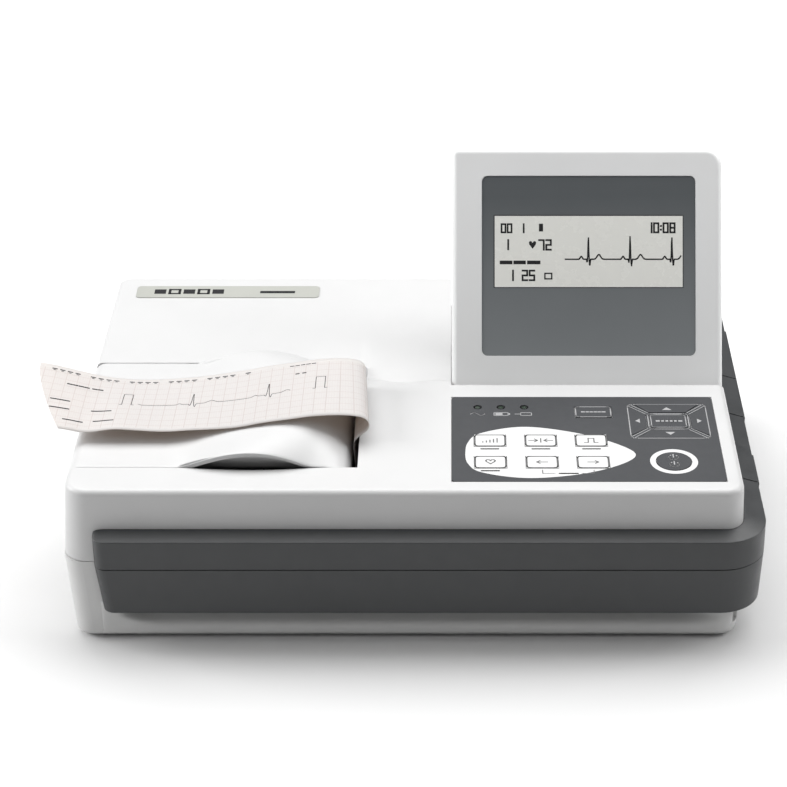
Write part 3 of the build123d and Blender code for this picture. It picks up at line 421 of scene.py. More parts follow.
for nodeName, node in nodes.items():
    if nodeName.startswith("key_"):
        look = finish["white"] if nodeName in whiteKeys else finish["film"]
    else:
        look = finish[nodeFinish[nodeName]]
    node.data.materials.clear()
    node.data.materials.append(look)

# top cover

cover = {"deckX": (-133.0, 144.0), "deckY": (-94.0, 102.0), "seamX": (-135.0, 145.0), "seamY": (-95.5, 102.0),
         "deckZ": 70.0, "seamZ": 37.7, "edge": 2.6, "corners": (10.0, 8.0, 7.5, 5.5),
         "pad": ((24.7, -86.1, 69.45), (137.3, -15.2, 80))}
door = {"y": (-74.4, 15.6), "slotX": -13.9, "pivot": (-128.5, 64.8), "barrel": 5.2, "gap": 0.3, "wallX": -131.0,
        "wallZ": 59.3}
recess = {"x": 24.6, "y": -4.6, "z": 55.0, "edge": 0.8}
crease = {"left": (-13.0, 9.6), "right": (24.6, -1.0), "step": 0.5}  # the low line of the dish
scoop = {"x": (-90, -26), "front": -86.0, "back": -73.0, "deep": 1.3, "round": 1.2}
dish = {"start": -66, "full": -24, "reach": 34.0, "deep": 4.4, "curve": 2.3, "frontReach": 20.0, "fade": 22,
        "frontCurve": 1.5}


def roundRing(xs, ys, corners, steps=10):
    # a rectangle with round corners as a ring of points, front left first, anticlockwise
    ring = []
    places = ((xs[0], ys[0], 1, 1, 180), (xs[1], ys[0], -1, 1, 270),
              (xs[1], ys[1], -1, -1, 0), (xs[0], ys[1], 1, -1, 90))
    for (x, y, sx, sy, start), radius in zip(places, corners):
        cx, cy = x + sx * radius, y + sy * radius
        for k in range(steps + 1):
            a = radians(start + 90 * k / steps)
            ring.append((cx + radius * cos(a), cy + radius * sin(a)))
    return ring


def creaseY(x):
    # the low line that runs from behind the slot to the display's corner
    (x0, y0), (x1, y1) = crease["left"], crease["right"]
    return y0 + (y1 - y0) * (x - x0) / (x1 - x0)


def deckDrop(x, y):
    # how far the deck dips below its flat level
    drop = 0.0
    # finger scoop in front of the door
    left, right = scoop["x"]
    if left < x < right and y < door["y"][0] + 1:
        side = sin(pi * (x - left) / (right - left)) ** scoop["round"]
        drop = scoop["deep"] * side * blendTo(scoop["front"], scoop["back"], y)
    # dish behind the door that runs on beside the slot to the display
    if dish["start"] < x < recess["x"] + 1:
        edgeY = creaseY(x) if x > crease["left"][0] else door["y"][1]
        if y >= edgeY + crease["step"] * 0.8:
            t = min((y - edgeY) / dish["reach"], 1)
            along = blendTo(dish["start"], dish["full"], x)
            drop = max(drop, dish["deep"] * along * (1 - t) ** dish["curve"])
        elif x > crease["left"][0]:
            t = min(max(edgeY - y, 0) / dish["frontReach"], 1)
            along = 1 - blendTo(0, dish["fade"], x)
            drop = max(drop, dish["deep"] * along * (1 - t) ** dish["frontCurve"])
    return drop


def buildCover():
    # walls that lean in, a rounded edge, and a deck with its hollows
    rings = []
    seam, deck = cover["seamZ"], cover["deckZ"] - cover["edge"]
    wallSteps, edgeSteps = 6, 8
    for k in range(wallSteps + 1):
        t = k / wallSteps
        xs = tuple(a + (b - a) * t for a, b in zip(cover["seamX"], cover["deckX"]))
        ys = tuple(a + (b - a) * t for a, b in zip(cover["seamY"], cover["deckY"]))
        rings.append([(x, y, seam + (deck - seam) * t) for x, y in roundRing(xs, ys, cover["corners"])])
    for k in range(1, edgeSteps + 1):
        a = radians(90 * k / edgeSteps)
        inset = cover["edge"] * (1 - cos(a))
        z = deck + cover["edge"] * sin(a)
        xs = (cover["deckX"][0] + inset, cover["deckX"][1] - inset)
        ys = (cover["deckY"][0] + inset, cover["deckY"][1] - inset)
        corners = [radius - inset for radius in cover["corners"]]
        rings.append([(x, y, z) for x, y in roundRing(xs, ys, corners)])
    verts, faces = [], []
    count = len(rings[0])
    for ring in rings:
        verts += ring
    for k in range(len(rings) - 1):
        for i in range(count):
            j = (i + 1) % count
            faces.append((k * count + i, k * count + j, (k + 1) * count + j, (k + 1) * count + i))
    faces.append(tuple(reversed(range(count))))
    # the deck: its rim ring, and a grid of points that is fine where the surface curves
    fineX, fineY, coarse = 2.0, 1.5, 9.0
    rim = [(x, y) for x, y, z in rings[-1]]
    inside = []
    y = -91.0
    while y < 99.5:
        curvedY = -91 < y < -73 or -16 < y < 52
        x = -129.5
        while x < 141:
            inside.append((x, y))
            x += fineX if curvedY and -92 < x < 26 else coarse
        y += fineY if curvedY else coarse
    rimEdges = [(i, (i + 1) % count) for i in range(count)]
    folds, foldCount, foldStep = [], 26, 1.5
    for shift in (0.0, crease["step"]):
        for k in range(foldCount):
            x = crease["left"][0] + 0.05 + k * foldStep
            folds.append((x, creaseY(x) + shift))
    flat = [Vector(p) for p in rim + inside + folds]
    first = len(rim + inside)
    foldEdges = [(first + foldCount * side + k, first + foldCount * side + k + 1)
                 for side in (0, 1) for k in range(foldCount - 1)]
    outPoints, _, outFaces = delaunay_2d_cdt(flat, rimEdges + foldEdges, [], 1, 1e-4)[:3]
    rimIndex = {}
    for i, (x, y) in enumerate(rim):
        rimIndex[(round(x, 3), round(y, 3))] = (len(rings) - 1) * count + i
    remapIndex = {}
    for i, p in enumerate(outPoints):
        key = (round(p.x, 3), round(p.y, 3))
        if key in rimIndex:
            remapIndex[i] = rimIndex[key]
        else:
            remapIndex[i] = len(verts)
            verts.append((p.x, p.y, cover["deckZ"] - deckDrop(p.x, p.y)))
    for face in outFaces:
        faces.append(tuple(remapIndex[i] for i in face))
    return addPiece("coverShell", verts, faces, finish["shell"], None)


def boxPiece(name, low, high, bevel=0.0):
    # a plain box to cut with; it is never left showing by itself
    verts = [(x, y, z) for x in (low[0], high[0]) for y in (low[1], high[1]) for z in (low[2], high[2])]
    faces = [(0, 1, 3, 2), (4, 6, 7, 5), (0, 4, 5, 1), (2, 3, 7, 6), (0, 2, 6, 4), (1, 5, 7, 3)]
    piece = addPiece(name, verts, faces, finish["shell"], None, smooth=False)
    if bevel:
        softenEdges(piece, bevel, 4)
        applyModifiers(piece)
    return piece


def cutWith(piece, cutter):
    # take the cutter's shape out of the piece
    cut = piece.modifiers.new("cut", "BOOLEAN")
    cut.operation = "DIFFERENCE"
    cut.solver = "EXACT"
    cut.object = cutter
    applyModifiers(piece)
    bpy.data.objects.remove(cutter, do_unlink=True)


coverShell = buildCover()
doorFront, doorRear = door["y"][0] - door["gap"], door["y"][1] + door["gap"]
cutWith(coverShell, boxPiece("doorCut", (door["wallX"] - 0.2, doorFront, 30), (door["slotX"], doorRear, 90)))
# the left wall stays up to the door's round edge
cutWith(coverShell, boxPiece("wallCut", (-150, doorFront, door["wallZ"]), (door["wallX"], doorRear, 90)))
cutWith(coverShell, boxPiece("padCut", *cover["pad"]))
recessCut = boxPiece("recessCut", (recess["x"], recess["y"], recess["z"]), (170, 130, 95), recess["edge"])
cutWith(coverShell, recessCut)
sharpBy(coverShell, 32)
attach(coverShell, "case")
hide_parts("top_cover")
print("cover built:", len(coverShell.data.polygons), "faces")

# hand hold: the hollow's left edge is a line of (height, place along X)

grip = {"x": (-121.0, 142.0), "z": (2.6, 19.0), "depth": 5.6, "front": -97.0, "lean": 0.035, "foot": 1.2,
        "edge": [(6.5, -95.0), (7.8, -106.0), (12.0, -113.5), (20.0, -118.0)], "fadeIn": 10,
        "fadeOut": (118, 141), "lip": (6.3, 13.0), "cornerX": 136.0, "cornerR": 8, "proud": 0.12, "tuck": 0.35,
        "thick": 0.5}


def gripStart(z):
    # where the hollow begins along X at height z
    places = grip["edge"]
    for (z0, x0), (z1, x1) in zip(places, places[1:]):
        if z <= z1:
            return x0 + (x1 - x0) * max(z - z0, 0) / (z1 - z0)
    return places[-1][1]


def buildGrip():
    # a smooth hollow below the band, drawn over the case's front wall
    wide, tall = 180, 16
    leftX, lowZ = grip["x"][0], grip["z"][0]
    radius = grip["cornerR"]
    verts = []
    for i in range(wide + 1):
        x = leftX + (grip["x"][1] - leftX) * i / wide
        for k in range(tall + 1):
            z = lowZ + (grip["z"][1] - lowZ) * k / tall
            startX = gripStart(z)
            inward = blendTo(startX, startX + grip["fadeIn"], x) * (1 - blendTo(*grip["fadeOut"], x))
            slope = blendTo(*grip["lip"], z)
            # the left end and the foot dip just under the wall
            tuck = grip["tuck"] * (1 - blendTo(leftX, leftX + 2, x) * blendTo(lowZ, lowZ + 1, z))
            corner = max(x - grip["cornerX"], 0)
            wallY = grip["front"] + grip["lean"] * (z - grip["foot"])
            wallY += radius - sqrt(max(radius ** 2 - corner * corner, 4))
            verts.append((x, wallY - grip["proud"] + tuck + grip["depth"] * inward * slope, z))
    piece = addPiece("gripFace", verts, gridFaces(wide + 1, tall + 1), finish["base"], None)
    thicken(piece, grip["thick"], -1)
    applyModifiers(piece)
    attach(piece, "case")


buildGrip()
print("hand hold built")

# recorder door

humpMiddle = [(-94, 70), (-84, 71.5), (-74, 74), (-64, 76.2), (-54, 78), (-47, 79), (-40, 79.4),
              (-34.5, 78.9), (-29.5, 77.2), (-25, 74.6), (-20.5, 70.5), (-18.2, 66.5), (-17.1, 62), (-17.1, 57.5)]
humpEnd = [(-94, 70), (-87, 70.05), (-79, 72.6), (-71, 75), (-63, 76.3), (-56, 76.4), (-49, 75.4),
           (-42, 73.4), (-34, 70.4), (-27, 69.9), (-21.5, 69.0), (-18.4, 66.0), (-17.1, 62), (-17.1, 57.5)]
lid = {"thick": 2.0, "edge": 0.35, "endShape": 3.2, "stations": 30}


def buildDoor():
    # sections across the lid that pass from the middle's hump to the ends' arch
    px, pz = door["pivot"]
    r = door["barrel"]
    barrel = [(px + r * cos(radians(a)), pz + r * sin(radians(a))) for a in range(-90, -271, -15)]
    middle = smoothPath(humpMiddle, 6)
    end = smoothPath(humpEnd, 6)
    flat = [(px + (humpMiddle[0][0] - px) * k / 8, cover["deckZ"]) for k in range(1, 8)]
    low, high = door["y"]
    yMid, half = (low + high) / 2, (high - low) / 2
    stations = [k / lid["stations"] for k in range(-lid["stations"], lid["stations"] + 1)]
    verts = []
    for s in stations:
        mix = abs(s) ** lid["endShape"]
        hump = [(a[0] + (b[0] - a[0]) * mix, a[1] + (b[1] - a[1]) * mix) for a, b in zip(middle, end)]
        verts += [(x, yMid + half * s, z) for x, z in barrel + flat + hump]
    faces = gridFaces(len(stations), len(verts) // len(stations))
    piece = addPiece("doorLid", verts, faces, finish["shell"], None)
    fixNormals(piece)
    thicken(piece, lid["thick"], -1)
    softenEdges(piece, lid["edge"], 3, 50)
    applyModifiers(piece)
    return piece


doorLid = buildDoor()
sharpBy(doorLid, 40)
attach(doorLid, "recorder_door")


pocket = {"left": -88.5, "wide": 56.5, "middle": -60.2, "half": 28.3, "rise": 6.0, "arch": 0.9, "start": 0.5,
          "deep": 6, "under": 0.7, "foot": 66.5, "curve": 1.6, "thick": 0.8}


def buildPocket(name, edgeY, way):
    # the finger pocket seen through the arched end of the door
    verts = []
    across, deep = 28, 8
    for i in range(across + 1):
        x = pocket["left"] + pocket["wide"] * i / across
        rise = 1 - ((x - pocket["middle"]) / pocket["half"]) ** 2
        top = cover["deckZ"] + pocket["rise"] * max(rise, 0) ** pocket["arch"]
        for k in range(deep + 1):
            t = k / deep
            z = top - pocket["under"] - (top - pocket["foot"]) * t ** pocket["curve"]
            verts.append((x, edgeY + way * (pocket["start"] + pocket["deep"] * t), z))
    piece = addPiece(name, verts, gridFaces(across + 1, deep + 1, True), finish["shell"], None)
    thicken(piece, pocket["thick"], 0)
    applyModifiers(piece)
    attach(piece, "recorder_door")


buildPocket("doorPocketFront", door["y"][0], 1)
buildPocket("doorPocketRear", door["y"][1], -1)

# cheeks under the lid that carry the platen: each one's name and front face along Y
cheek = {"places": (("doorCheekFront", -58.9), ("doorCheekRear", -2.4)), "thick": 2.5, "edge": 0.4,
         "outline": [(-27, 72), (-21.5, 67), (-18.5, 60), (-16.9, 54), (-16.9, 47.5), (-18, 46.5),
                     (-24.5, 46.5), (-27, 49), (-33, 66), (-34, 74)]}


def buildCheek(name, y):
    # a flat plate standing in the X-Z plane
    count = len(cheek["outline"])
    verts = [(x, y, z) for x, z in cheek["outline"]] + [(x, y + cheek["thick"], z) for x, z in cheek["outline"]]
    faces = [tuple(range(count)), tuple(reversed(range(count, 2 * count)))]
    faces += [(i, (i + 1) % count, (i + 1) % count + count, i + count) for i in range(count)]
    piece = addPiece(name, verts, faces, finish["shell"], None, smooth=False)
    fixNormals(piece)
    softenEdges(piece, cheek["edge"], 3)
    applyModifiers(piece)
    sharpBy(piece, 35)
    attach(piece, "recorder_door")


for name, y in cheek["places"]:
    buildCheek(name, y)
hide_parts("recorder_door")
print("door built")

# printed paper strip

strip = {"width": 50.0, "rearY": -4.4, "thick": 0.12, "bulge": 3.0, "endCut": 15.0,
         "path": [(-15.6, 47), (-15.6, 52), (-15.6, 57), (-15.9, 62.5), (-16.2, 68), (-15.4, 72), (-13.2, 76),
                  (-12.6, 79), (-15.2, 82.0), (-22, 83.2), (-33, 82.7), (-43, 81.2), (-54, 79.5), (-63, 77.6),
                  (-74, 75.7), (-84, 74.2), (-94, 73.2), (-105, 72.6), (-115, 72.8), (-126, 74.2),
                  (-137, 77.0), (-147, 79.8), (-154.0, 81.2)],
         # how much higher the front edge rides than the rear edge, along X
         "lift": [(-62, 0.0), (-90, 2.0), (-114, 3.7), (-133, -0.3), (-154, -2.6)]}
stripLine = evenPath(smoothPath(strip["path"], 12), 260)
stripLength = sum(sqrt((b[0] - a[0]) ** 2 + (b[1] - a[1]) ** 2) for a, b in zip(stripLine, stripLine[1:]))


def edgeLift(x):
    # the front edge's extra height at x, smooth between the given places
    places = strip["lift"]
    if x >= places[0][0]:
        return 0.0
    for (x0, z0), (x1, z1) in zip(places, places[1:]):
        if x >= x1:
            return z0 + (z1 - z0) * blendTo(0, 1, (x - x0) / (x1 - x0))
    return places[-1][1]


def stripPoint(length, across, lift=0.0):
    # a point on the strip from its length along and its distance from the rear edge
    side = across / strip["width"]
    f = min(max(length / stripLength, 0), 1) * (len(stripLine) - 1)
    i = min(int(f), len(stripLine) - 2)
    t = f - i
    a, b = stripLine[i], stripLine[i + 1]
    x, z = a[0] + (b[0] - a[0]) * t, a[1] + (b[1] - a[1]) * t
    dx, dz = b[0] - a[0], b[1] - a[1]
    size = sqrt(dx * dx + dz * dz)
    nx, nz = dz / size, -dx / size  # outwards, to the printed side
    z += edgeLift(x) * side
    x += strip["bulge"] * side * blendTo(70, 77, z) * blendTo(-30, -14, x)
    return (x + nx * lift, strip["rearY"] - across, z + nz * lift)


def stripEnd(across):
    # the strip was torn off at a slant
    return stripLength - strip["endCut"] * (across / strip["width"]) ** 1.5


def buildStrip():
    along, wide = 260, 16
    verts = []
    for i in range(along + 1):
        for k in range(wide + 1):
            across = strip["width"] * k / wide
            verts.append(stripPoint(stripEnd(across) * i / along, across))
    faces = gridFaces(along + 1, wide + 1, True)
    piece = addPiece("paperStrip", verts, faces, finish["paper"], "recorder_door")
    layer = piece.data.uv_layers.new(name="length")
    for loop in piece.data.loops:
        i, k = divmod(loop.vertex_index, wide + 1)
        across = strip["width"] * k / wide
        layer.data[loop.index].uv = (stripEnd(across) * i / along, across)
    thicken(piece, strip["thick"], 0)
    applyModifiers(piece)
    return piece


paperStrip = buildStrip()
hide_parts("paper_strip")
print("paper strip:", round(stripLength, 1), "mm long")


# flat lines and shapes of print
class Print:
    def __init__(self):
        self.verts, self.faces = [], []

    def line(self, points, width, place, close=False):
        # a polyline of even width; place turns (x, y) into a point in space
        if close:
            points = points + points[:1]
        for a, b in zip(points, points[1:]):
            dx, dy = b[0] - a[0], b[1] - a[1]
            size = sqrt(dx * dx + dy * dy)
            if size < 1e-6:
                continue
            ux, uy = dx / size * width / 2, dy / size * width / 2
            corners = [(a[0] - ux - uy, a[1] - uy + ux), (a[0] - ux + uy, a[1] - uy - ux),
                       (b[0] + ux + uy, b[1] + uy - ux), (b[0] + ux - uy, b[1] + uy + ux)]
            start = len(self.verts)
            self.verts += [place(*c) for c in corners]
            self.faces.append((start, start + 1, start + 2, start + 3))

    def shape(self, points, place):
        start = len(self.verts)
        self.verts += [place(*p) for p in points]
        self.faces.append(tuple(range(start, start + len(points))))

    def make(self, name, material, body, slot):
        return addPiece(name, self.verts, self.faces, material, body, smooth=False)


def boxLoop(left, low, right, high):
    # the corners of an upright box, anticlockwise from the lower left
    return [(left, low), (right, low), (right, high), (left, high)]


def ringLoop(cx, cy, radius, count=48):
    # points round a circle
    turns = [2 * pi * k / count for k in range(count)]
    return [(cx + radius * cos(a), cy + radius * sin(a)) for a in turns]


def dashes(ink, start, step, dash, count, y, width, place):
    # a row of short bars in place of lettering
    for k in range(count):
        x = start + k * step
        ink.line([(x, y), (x + dash, y)], width, place)


segments = {"a": ((0, 2), (1, 2)), "b": ((1, 2), (1, 1)), "c": ((1, 1), (1, 0)), "d": ((0, 0), (1, 0)),
            "e": ((0, 0), (0, 1)), "f": ((0, 1), (0, 2)), "g": ((0, 1), (1, 1))}
digitSegments = {"0": "abcdef", "1": "bc", "2": "abged", "3": "abgcd", "4": "fgbc", "5": "afgcd",
                 "6": "afgedc", "7": "abc", "8": "abcdefg", "9": "abcfgd"}
figure = {"wide": 0.48, "pitch": 0.74, "colon": (0.6, 1.4), "colonPitch": 0.3}  # shares of a figure's height


def drawDigits(ink, text, x, y, height, width, place):
    # numbers in plain seven-stroke figures; a space leaves a gap
    w, h = height * figure["wide"], height / 2
    for letter in text:
        if letter == ":":
            for dy in figure["colon"]:
                ink.line([(x, y + h * dy), (x + width * 0.2, y + h * dy)], width, place)
            x += height * figure["colonPitch"]
            continue
        for key in digitSegments.get(letter, ""):
            (ax, ay), (bx, by) = segments[key]
            ink.line([(x + ax * w, y + ay * h), (x + bx * w, y + by * h)], width, place)
        x += height * figure["pitch"]


# a heartbeat's waves: place along it, width and height
waves = ((0.18, 0.035, 0.12), (0.32, 0.010, -0.12), (0.35, 0.011, 1.0), (0.385, 0.012, -0.28), (0.6, 0.06, 0.2))


def beat(x):
    # one heartbeat as a height for a place 0 to 1 along it
    return sum(height * 2.718 ** (-((x - mid) / size) ** 2) for mid, size, height in waves)


# print on the strip: frame ticks, short bars, calibration pulses and the trace
tick = {"count": 26, "step": 3.4, "group": 5, "start": 6, "rows": ((3.0, 0, 1.6, 0.7), (4.0, 0.5, 1.1, 0.5))}
bars = {"heading": (14, 16.5, 19, 21.5, 25, 27.5),
        "rows": ((27.0, 8.5), (33.5, 9.0), (42.0, 16.0), (32.0, 27.0), (41.0, 29.0))}
trace = {"start": 66.0, "end": 46, "every": 33.0, "lead": 12, "base": 26.0, "tall": 9.5, "line": 0.26,
         "steps": 420}
pulse = {"shape": ((0, 26), (1, 26), (1, 16), (5, 16), (5, 26), (6, 26)), "line": 0.28,
         "places": (stripLength - 38, 56)}
stripInk = Print()
onStrip = lambda u, v: stripPoint(u, v, 0.09)
for k in range(tick["count"]):
    u = stripLength - tick["start"] - k * tick["step"]
    if k % tick["group"] != tick["group"] - 1:
        for v, near, far, width in tick["rows"]:
            stripInk.line([(u - near, v), (u - far, v)], width, onStrip)
for back in bars["heading"]:
    dashes(stripInk, stripLength - back, 0, -1.5, 1, 13.0, 0.9, onStrip)
for v, back in bars["rows"]:
    dashes(stripInk, stripLength - back, -2.2, -1.4, 4, v, 0.8, onStrip)
dashes(stripInk, 56, 2.4, 1.3, 5, 3.4, 0.6, onStrip)
dashes(stripInk, 60, 3, 1, 2, 11, 0.8, onStrip)
for u in pulse["places"]:
    stripInk.line([(u - back, v) for back, v in pulse["shape"]], pulse["line"], onStrip)
tracePoints = []
for k in range(trace["steps"] + 1):
    u = trace["start"] + (stripLength - trace["end"] - trace["start"]) * k / trace["steps"]
    phase = ((u - trace["start"] + trace["lead"]) / trace["every"]) % 1
    tracePoints.append((u, trace["base"] - trace["tall"] * beat(1 - phase)))
stripInk.line(tracePoints, trace["line"], onStrip)
stripInk.make("stripPrint", finish["ink"], "recorder_door", "key_film")
print("strip printed")

# display: its hinge, how far back it leans, and where the picture lies on it

display = {"lean": 30, "hinge": (84.25, -0.3, 66.0), "inset": 4.0, "middle": 0.7, "lcdY": 63.95, "lcdW": 82.4,
           "lcdH": 31.2, "glass": -0.3}
lean = radians(display["lean"])
panelUp = Vector((0, sin(lean), cos(lean)))
panelFront = Vector((0, -cos(lean), sin(lean)))
panelOrigin = Vector(display["hinge"]) + (panelFront - panelUp) * display["inset"]


def onPanel(lift):
    def place(x, y):
        p = panelOrigin + Vector((x, 0, 0)) + panelUp * y + panelFront * (display["glass"] + lift)
        return tuple(p)
    return place


# the picture's layers, from the painted shadow round its edge up to the ink
x0, x1 = display["middle"] - display["lcdW"] / 2, display["middle"] + display["lcdW"] / 2
y0, y1 = display["lcdY"] - display["lcdH"] / 2, display["lcdY"] + display["lcdH"] / 2
# a dark sheet just larger than the liquid crystal: painted shadow along its edges, a little wider at the top and
# left
lcdShade = Print()
lcdShade.shape(boxLoop(x0 - 0.5, y0 - 0.4, x1 + 0.4, y1 + 0.5), onPanel(0.02))
lcdShade.make("lcdPaintedShadow", finish["film"], "display", "black_plastic")
lcd = Print()
lcd.shape(boxLoop(x0, y0, x1, y1), onPanel(0.04))
lcd.make("lcdArea", finish["lcd"], "display", "lcd")
lcdInk = Print()
place = onPanel(0.06)
stroke = 0.8
drawDigits(lcdInk, "00 1", x0 + 3, y1 - 7.2, 3.6, 0.75, place)
lcdInk.shape(boxLoop(x0 + 19.4, y1 - 6.8, x0 + 21.2, y1 - 3.4), place)
drawDigits(lcdInk, "10:08", x1 - 15.5, y1 - 7.2, 4.0, stroke, place)
drawDigits(lcdInk, "1", x0 + 4, y1 - 14.6, 4.0, stroke, place)
heart = [(0, 1.0), (0.45, 1.75), (1.15, 1.9), (1.6, 1.25), (1.45, 0.4), (0, -1.5), (-1.45, 0.4), (-1.6, 1.25),
         (-1.15, 1.9), (-0.45, 1.75)]
lcdInk.shape([(x0 + 16.6 + hx, y1 - 12.9 + hy) for hx, hy in heart], place)
drawDigits(lcdInk, "72", x0 + 19.5, y1 - 14.8, 4.2, stroke, place)
for k, wide in enumerate((2.2, 1.4, 2.4, 1.2, 2.6, 1.8)):
    dashes(lcdInk, x0 + 3 + k * 3.0, 0, wide * 0.7, 1, y1 - 20.4, 1.6, place)
drawDigits(lcdInk, "1 25", x0 + 6, y1 - 28.2, 4.2, stroke, place)
lcdInk.line(boxLoop(x0 + 22, y1 - 27.6, x0 + 25, y1 - 25.2), 0.6, place, True)
wave = {"start": 31, "long": 50.6, "base": 12.2, "tall": 10.0, "every": 18.3, "lead": 0.8, "line": 0.6,
        "steps": 300}
wavePoints = []
for k in range(wave["steps"] + 1):
    along = wave["long"] * k / wave["steps"]
    phase = (along / wave["every"] + wave["lead"]) % 1
    wavePoints.append((x0 + wave["start"] + along, y0 + wave["base"] + wave["tall"] * beat(phase)))
lcdInk.line(wavePoints, wave["line"], place)
lcdInk.make("lcdPrint", finish["ink"], "display", "black_plastic")
print("display drawn")

# keypad print

pad = {"film": 70.12, "key": 70.27, "line": 0.6, "icon": 0.5, "inset": 0.3, "gap": 0.28,
       "powerAt": (116.7, -70.0), "ring": (9.9, 7.55), "lamps": (36.0, 46.0, 56.0), "lampY": -24.4,
       "lampR": 1.6, "signY": -30.4, "signLine": 0.4,
       "oval": [(30.5, -64.5), (31.5, -55), (37, -46.8), (55, -41.4), (76, -46.0), (93, -55), (101.3, -64.5),
                (93, -73.5), (76, -80.6), (55, -83.2), (37, -78.6), (31.5, -71.5), (30.5, -64.5)]}
# the cross of five keys: its outer and inner outlines, and its slanting arms
cross = {"outer": (100.4, -50.8, 133.8, -22.1), "inner": (108.5, -43.2, 125.6, -30.1), "armOut": (16.2, 13.9),
         "armIn": (8.7, 6.6), "armOutY": -36.45, "armInY": -36.6, "middle": 117.1}
onFilm = lambda x, y: (x, y, pad["film"])
onKey = lambda x, y: (x, y, pad["key"])
filmInk, darkInk = Print(), Print()


def keyCorners(name):
    # outer corners of a rectangular key, from its CAD box
    low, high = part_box(name)
    return boxLoop(low[0] / mm, low[1] / mm, high[0] / mm, high[1] / mm)


def roundedLoop(points, radius, steps=4):
    # the same corners, each replaced by a small arc-like bend
    loop = []
    for i, p in enumerate(points):
        a, b = Vector(points[i - 1]), Vector(points[(i + 1) % len(points)])
        q = Vector(p)
        start, end = q + (a - q).normalized() * radius, q + (b - q).normalized() * radius
        for k in range(steps + 1):
            t = k / steps
            loop.append(tuple(start * (1 - t) ** 2 + q * 2 * t * (1 - t) + end * t * t))
    return loop


def keyOutline(corners, radius):
    # a line with round corners just inside a key's edge
    (left, low), _, (right, high), _ = corners
    inset = pad["inset"]
    return roundedLoop(boxLoop(left + inset, low + inset, right - inset, high - inset), radius)


def fillLoop(ink, outer, holes, place):
    # a filled shape with holes
    points, edges = [], []
    for loop in [outer] + holes:
        start = len(points)
        points += [Vector(p) for p in loop]
        edges += [(start + i, start + (i + 1) % len(loop)) for i in range(len(loop))]
    outPoints, _, outFaces = delaunay_2d_cdt(points, edges, [], 1, 1e-5)[:3]
    start = len(ink.verts)
    ink.verts += [place(p.x, p.y) for p in outPoints]
    for face in outFaces:
        mid = sum((outPoints[i] for i in face), Vector((0, 0))) / len(face)
        if not any(insideLoop(mid, hole) for hole in holes):
            ink.faces.append(tuple(start + i for i in face))


def insideLoop(p, loop):
    found = False
    for a, b in zip(loop, loop[1:] + loop[:1]):
        if (a[1] > p.y) != (b[1] > p.y) and p.x < a[0] + (b[0] - a[0]) * (p.y - a[1]) / (b[1] - a[1]):
            found = not found
    return found


# white oval round the six function keys, with a hole for each
oval = smoothPath(pad["oval"], 8)[:-1]
keyHoles = []
for name in whiteKeys:
    (left, low), _, (right, high), _ = keyCorners(name)
    keyHoles.append(boxLoop(left - pad["gap"], low - pad["gap"], right + pad["gap"], high + pad["gap"]))
ovalPrint = Print()
fillLoop(ovalPrint, oval, keyHoles, onFilm)
ovalPrint.make("ovalPrint", finish["white"], "case", "key_film")

# a ring round the power key
ringPrint = Print()
powerX, powerY = pad["powerAt"]
outer, inner = [ringLoop(powerX, powerY, radius) for radius in pad["ring"]]
fillLoop(ringPrint, outer, [inner], onFilm)
ringPrint.make("powerRing", finish["white"], "case", "key_film")

# generic marks for the white keys, as lines about each key's middle
icons = {
    "key_sensitivity": [[(x, -1.6), (x, top)]
                        for x, top in ((-3, -1.0), (-1.5, -0.35), (0, 0.3), (1.5, 0.95), (3, 1.6))],
    "key_reset": [[(-5, 0), (-1.4, 0)], [(5, 0), (1.4, 0)], [(-2.6, 1.2), (-1.4, 0), (-2.6, -1.2)],
                  [(2.6, 1.2), (1.4, 0), (2.6, -1.2)], [(0, -1.6), (0, 1.6)]],
    "key_calibrate": [[(-2.8, -1.7), (-1.2, -1.7), (-1.2, 1.7), (1.2, 1.7), (1.2, -1.7), (2.8, -1.7)]],
    "key_mode": [[(x * 1.2, y) for x, y in heart + heart[:1]]],
    "key_lead_back": [[(2.2, 0), (-2.2, 0)], [(-0.9, 1.1), (-2.2, 0), (-0.9, -1.1)]],
    "key_lead_next": [[(-2.2, 0), (2.2, 0)], [(0.9, 1.1), (2.2, 0), (0.9, -1.1)]]}
for name in whiteKeys:
    corners = keyCorners(name)
    ink = Print()
    ink.line(keyOutline(corners, 1.3), pad["line"], onKey, True)
    cx, cy = (corners[0][0] + corners[2][0]) / 2, (corners[0][1] + corners[2][1]) / 2
    for points in icons[name]:
        ink.line([(cx + x, cy + y) for x, y in points], pad["icon"], onKey)
    ink.make(name + "_print", finish["grey"], name + "_cap", "key_film")
    if name not in ("key_lead_back", "key_lead_next"):
        dashes(darkInk, cx - 3.6, 1.5, 0.9, 5, corners[0][1] - 2.0, 0.9, onFilm)
# a bracket that joins the two lead keys
legLeft, legRight, legTop, legY, foot = 62.2, 83.3, -77.0, -79.6, 5
darkInk.line([(legLeft, legTop), (legLeft, legY), (legLeft + foot, legY)], 0.35, onFilm)
darkInk.line([(legRight, legTop), (legRight, legY), (legRight - foot, legY)], 0.35, onFilm)
dashes(darkInk, 69.2, 2.0, 1.2, 4, legY, 0.9, onFilm)
darkInk.make("legendPrint", finish["grey"], "case", "key_film")

# light lines on the dark film and keys
menuInk = Print()
corners = keyCorners("key_menu")
menuInk.line(keyOutline(corners, 1.4), 0.4, onKey, True)
dashes(menuInk, corners[0][0] + 3, 1.7, 1.1, 6, -28.8, 0.9, onKey)
menuInk.make("menuPrint", finish["softWhite"], "key_menu_cap", "key_film")

